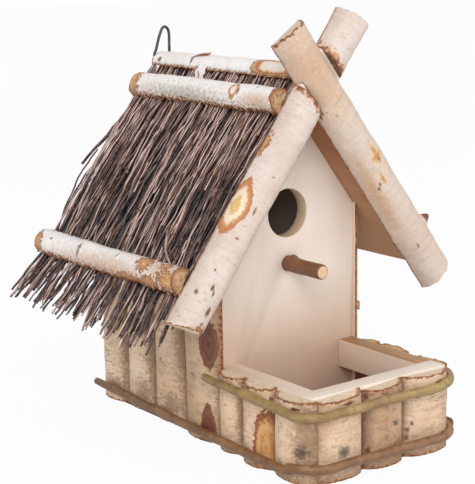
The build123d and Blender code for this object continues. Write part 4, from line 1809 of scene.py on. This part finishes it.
@dataclass
class BoardWork:
    """Planed boards of the house, the tray and the roof, with eased edges."""

    finishes: Finishes
    ease: float = 0.55
    sharp_deg: float = 25.0
    smooth_deg: float = 50.0

    def build(self) -> None:
        """Copy each board's solid, ease its edges and give it its grain."""
        kit = self.finishes
        boards = {
            "front_wall": kit.gable_board, "back_wall": kit.upright_board, "left_side_board": kit.upright_board,
            "right_side_board": kit.upright_board, "base_board": kit.floor_board, "tray_left_rail": kit.long_board,
            "tray_right_rail": kit.long_board, "tray_front_rail": kit.cross_board, "left_roof_board": kit.roof_board,
            "right_roof_board": kit.roof_board,
        }
        second = {
            "tray_right_rail": (kit.worn_board, lambda face: face.normal.z > 0.7),
            # The base board keeps its painted shade on all faces but the back, which stays pale.
            "base_board": (kit.upright_board, lambda face: face.normal.y > 0.7),
            "front_wall": (kit.cut_board, self.is_entrance),
        }
        for node, material in boards.items():
            board = self.eased(node, material)
            if node in second:
                other, takes = second[node]
                board.data.materials.append(other)
                for face in board.data.polygons:
                    face.material_index = int(takes(face))
            settle(board, "roof_board" if material is kit.roof_board else "planed_board", node)

    def is_entrance(self, face: bpy.types.MeshPolygon) -> bool:
        """Whether a face of the front wall lies in the entrance's bore."""
        from_middle = math.hypot(face.center.x / MM, face.center.z / MM - ENTRANCE_HEIGHT)
        return abs(face.normal.y) < 0.4 and from_middle < ENTRANCE_RADIUS + 0.5

    def eased(self, node: str, material: Material) -> Piece:
        """Copy of a board with small round edges.

        Args:
            node: Solid of the board.
            material: Its finish.

        Returns:
            The board as an object at the origin.
        """
        shell = bmesh.new()
        shell.from_mesh(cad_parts[node].data)
        bmesh.ops.remove_doubles(shell, verts=shell.verts, dist=0.001 * MM)
        bmesh.ops.dissolve_limit(shell, angle_limit=math.radians(1), verts=shell.verts, edges=shell.edges)
        sharp = [edge for edge in shell.edges
                 if len(edge.link_faces) == 2 and edge.calc_face_angle() > math.radians(self.sharp_deg)]
        bmesh.ops.bevel(shell, geom=sharp, offset=self.ease * MM, segments=2, profile=0.5, affect="EDGES",
                        clamp_overlap=True)
        mesh = bpy.data.meshes.new(node)
        shell.to_mesh(mesh)
        shell.free()
        mesh.materials.clear()
        mesh.materials.append(material)
        mesh.polygons.foreach_set("material_index", [0] * len(mesh.polygons))
        mesh.shade_smooth()
        mesh.set_sharp_from_angle(angle=math.radians(self.smooth_deg))
        return add_object(node + "_board", mesh)


@dataclass
class Studio:
    """White sweep, soft light from the upper left and the photograph's camera."""

    camera_place: tuple[float, float, float] = (-575.356, -713.653, 321.342)
    yaw_deg: float = 36.8136
    pitch_deg: float = -11.9023
    roll_deg: float = -0.9794
    focal_pixels: float = 1432.414
    image_height: float = 484.0
    sensor: float = 36.0
    floor_half: float = 6000.0
    key_place: tuple[float, float, float] = (-1300, -1600, 1350)
    key_size: float = 1700.0
    key_power: float = 34.0
    fill_place: tuple[float, float, float] = (1100, -1300, 800)
    fill_size: float = 1600.0
    fill_power: float = 8.0
    aim: tuple[float, float, float] = (0, 0, 110)
    sky: float = 0.54
    paper: str = "#f4f4f2"
    paper_roughness: float = 0.9
    paper_glow: float = 0.94

    def camera(self) -> None:
        """Set up the camera at the photograph's place and angle."""
        yaw, pitch, roll = (math.radians(a) for a in (self.yaw_deg, self.pitch_deg, self.roll_deg))
        ahead = Vector((math.sin(yaw) * math.cos(pitch), math.cos(yaw) * math.cos(pitch), math.sin(pitch)))
        level = Vector((math.cos(yaw), -math.sin(yaw), 0))
        above = level.cross(ahead)
        right = level * math.cos(roll) + above * math.sin(roll)
        top = above * math.cos(roll) - level * math.sin(roll)
        lens = bpy.data.cameras.new("camera")
        lens.sensor_fit = "VERTICAL"
        lens.sensor_height = self.sensor
        lens.sensor_width = self.sensor
        lens.lens = self.focal_pixels * self.sensor / self.image_height
        lens.clip_start = 0.01
        stand = add_object("camera", lens)
        turned = Matrix((right, top, -ahead)).transposed().to_4x4()
        stand.matrix_world = Matrix.Translation(Vector(self.camera_place) * MM) @ turned
        bpy.context.scene.camera = stand

    def lamp(self, name: str, place: tuple[float, float, float], size: float, power: float) -> None:
        """Add one large soft lamp that faces the nest box.

        Args:
            name: Name of the lamp.
            place: Where it hangs.
            size: Its diameter.
            power: Its power in watts.
        """
        light = bpy.data.lights.new(name, "AREA")
        light.shape = "DISK"
        light.size = size * MM
        light.energy = power
        stand = add_object(name, light)
        stand.location = Vector(place) * MM
        stand.rotation_euler = (Vector(self.aim) - Vector(place)).to_track_quat("-Z", "Y").to_euler()

    def seen(self, tree: bpy.types.NodeTree) -> Node:
        """Tell rays that show the surroundings from those that light the object.

        Args:
            tree: Node tree that takes the nodes.

        Returns:
            One for rays from the camera, a mirror or a clear thing, and zero for the others.
        """
        rays = add_node(tree, "LightPath").outputs
        mirror = add_node(tree, "Math.MAXIMUM", {0: rays["Is Camera Ray"], 1: rays["Is Glossy Ray"]})
        return add_node(tree, "Math.MAXIMUM", {0: mirror, 1: rays["Is Transmission Ray"]})

    def floor(self) -> None:
        """Lay a plain white floor that keeps a faint contact shadow."""
        half = self.floor_half * MM
        mesh = bpy.data.meshes.new("floor")
        mesh.from_pydata([(-half, -half, 0), (half, -half, 0), (half, half, 0), (-half, half, 0)], [], [(0, 1, 2, 3)])
        paint = Paint("white_paper_sweep")
        paint.shader.inputs["Base Color"].default_value = linear(self.paper)
        paint.shader.inputs["Roughness"].default_value = self.paper_roughness
        glow = paint.add("Emission", {"Color": linear("#ffffff"), "Strength": 1.0})
        faded = paint.add("Math.MULTIPLY", {0: self.seen(paint.tree), 1: self.paper_glow})
        mix = paint.add("MixShader", {0: faded, 1: paint.shader, 2: glow})
        paint.tree.links.new(mix.outputs[0], paint.tree.nodes["Material Output"].inputs["Surface"])
        mesh.materials.append(paint.material)
        sweep = add_object("floor", mesh)

    def build(self) -> None:
        """Set up the world, the lamps, the floor and the camera."""
        scene = bpy.context.scene
        scene.view_settings.view_transform = "Standard"
        world = bpy.data.worlds.new("studio")
        world.use_nodes = True
        scene.world = world
        tree = world.node_tree
        ground = tree.nodes["Background"]
        ground.inputs["Color"].default_value = linear("#ffffff")
        strength = add_node(tree, "MapRange", {0: self.seen(tree), 3: self.sky, 4: 1.0})
        tree.links.new(strength.outputs[0], ground.inputs["Strength"])
        self.lamp("key", self.key_place, self.key_size, self.key_power)
        self.lamp("fill", self.fill_place, self.fill_size, self.fill_power)
        self.floor()
        self.camera()


def main() -> None:
    """Build the nest box's looks in order."""
    logging.basicConfig(level=logging.INFO, format="%(message)s")
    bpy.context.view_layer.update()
    finishes = Finishes()
    apex = node_box("front_wall")[1].z
    left, right = Slope(Side.LEFT, apex), Slope(Side.RIGHT, apex)
    twig_layers, rods = TwigLayerTree(), RodTree()
    BoardWork(finishes).build()
    HouseCladding(finishes).build()
    TrayCladding(finishes).build()
    Bargeboards(finishes, left, right).build()
    Battens(finishes, left, right).build()
    Thatch(left, twig_layers, rods, finishes.thatch_twig, finishes.thatch_bud, fringe=45.0, strays=(
        Stray(((22, 137, 14), (42, 143, 14), (60, 150, 14), (79, 160, 14)), 1.2),
        Stray(((66, 150, 14), (88, 154, 14), (108, 152, 13), (136, 148, 12)), 0.55),
        Stray(((76, 146, 13), (98, 149, 14), (118, 147, 14), (142, 144, 12)), 0.6),
        Stray(((138, 143, 12), (150, 150, 12), (165, 155, 12), (181, 160, 12)), 1.0),
        Stray(((138, 142, 12), (152, 147, 12), (168, 153, 12), (183, 157, 11)), 0.9),
        Stray(((138, 140, 12), (155, 144, 12), (170, 149, 11), (185, 153, 11)), 0.9),
        Stray(((138, 138, 11), (155, 143, 11), (170, 150, 11), (180, 156, 11)), 0.9),
        Stray(((112, 20, 17), (128, 6, 18), (136, -6, 17)), 0.8),
        Stray(((60, -2, 17), (92, -12, 19), (128, -20, 16)), 0.8))).build()
    Thatch(right, twig_layers, rods, finishes.thatch_twig, finishes.thatch_bud, fringe=4.0).build()
    WithyBand("upper_withy_band", rods, finishes.green_withy, (49.0, 46.0, 45.5, 43.0), (18.0, 34.0), 1.3).build()
    WithyBand("lower_withy_band", rods, finishes.brown_withy, (14.2, 13.8, 10.8, 11.0), (18.0, 34.0), 5.1,
              dip=(-58.0, 9.8)).build()
    ridge = node_box("ridge_batten")[1].z
    BarkFlake("ridge_curl", ((-4.5, 98, ridge - 2.6), (-3.6, 92, ridge - 0.5), (-3.0, 86, ridge + 0.6),
                             (-2.6, 80, ridge + 0.9)), Vector((0.9, 0, 0.25)), 3.2, finishes.brown_bark, 3.0).build()
    BarkFlake("ridge_scrap", ((-7.5, 79, ridge - 6.0), (-10.5, 79, ridge - 9.5), (-13, 78, ridge - 14),
                              (-15, 78, ridge - 18)), BACK, 11.0, finishes.bright_bark, 8.0, rim=0.2).build()
    BarkFlake("wall_flake", ((57, 1, 77), (58.5, -1.5, 76), (60.0, -3.0, 75.5)), UP, 6.0, finishes.brown_bark,
              5.0).build()
    WireHanger(rods, finishes.wire).build()
    Perch(finishes).build()
    Studio().build()


if __name__ == "__main__":
    main()
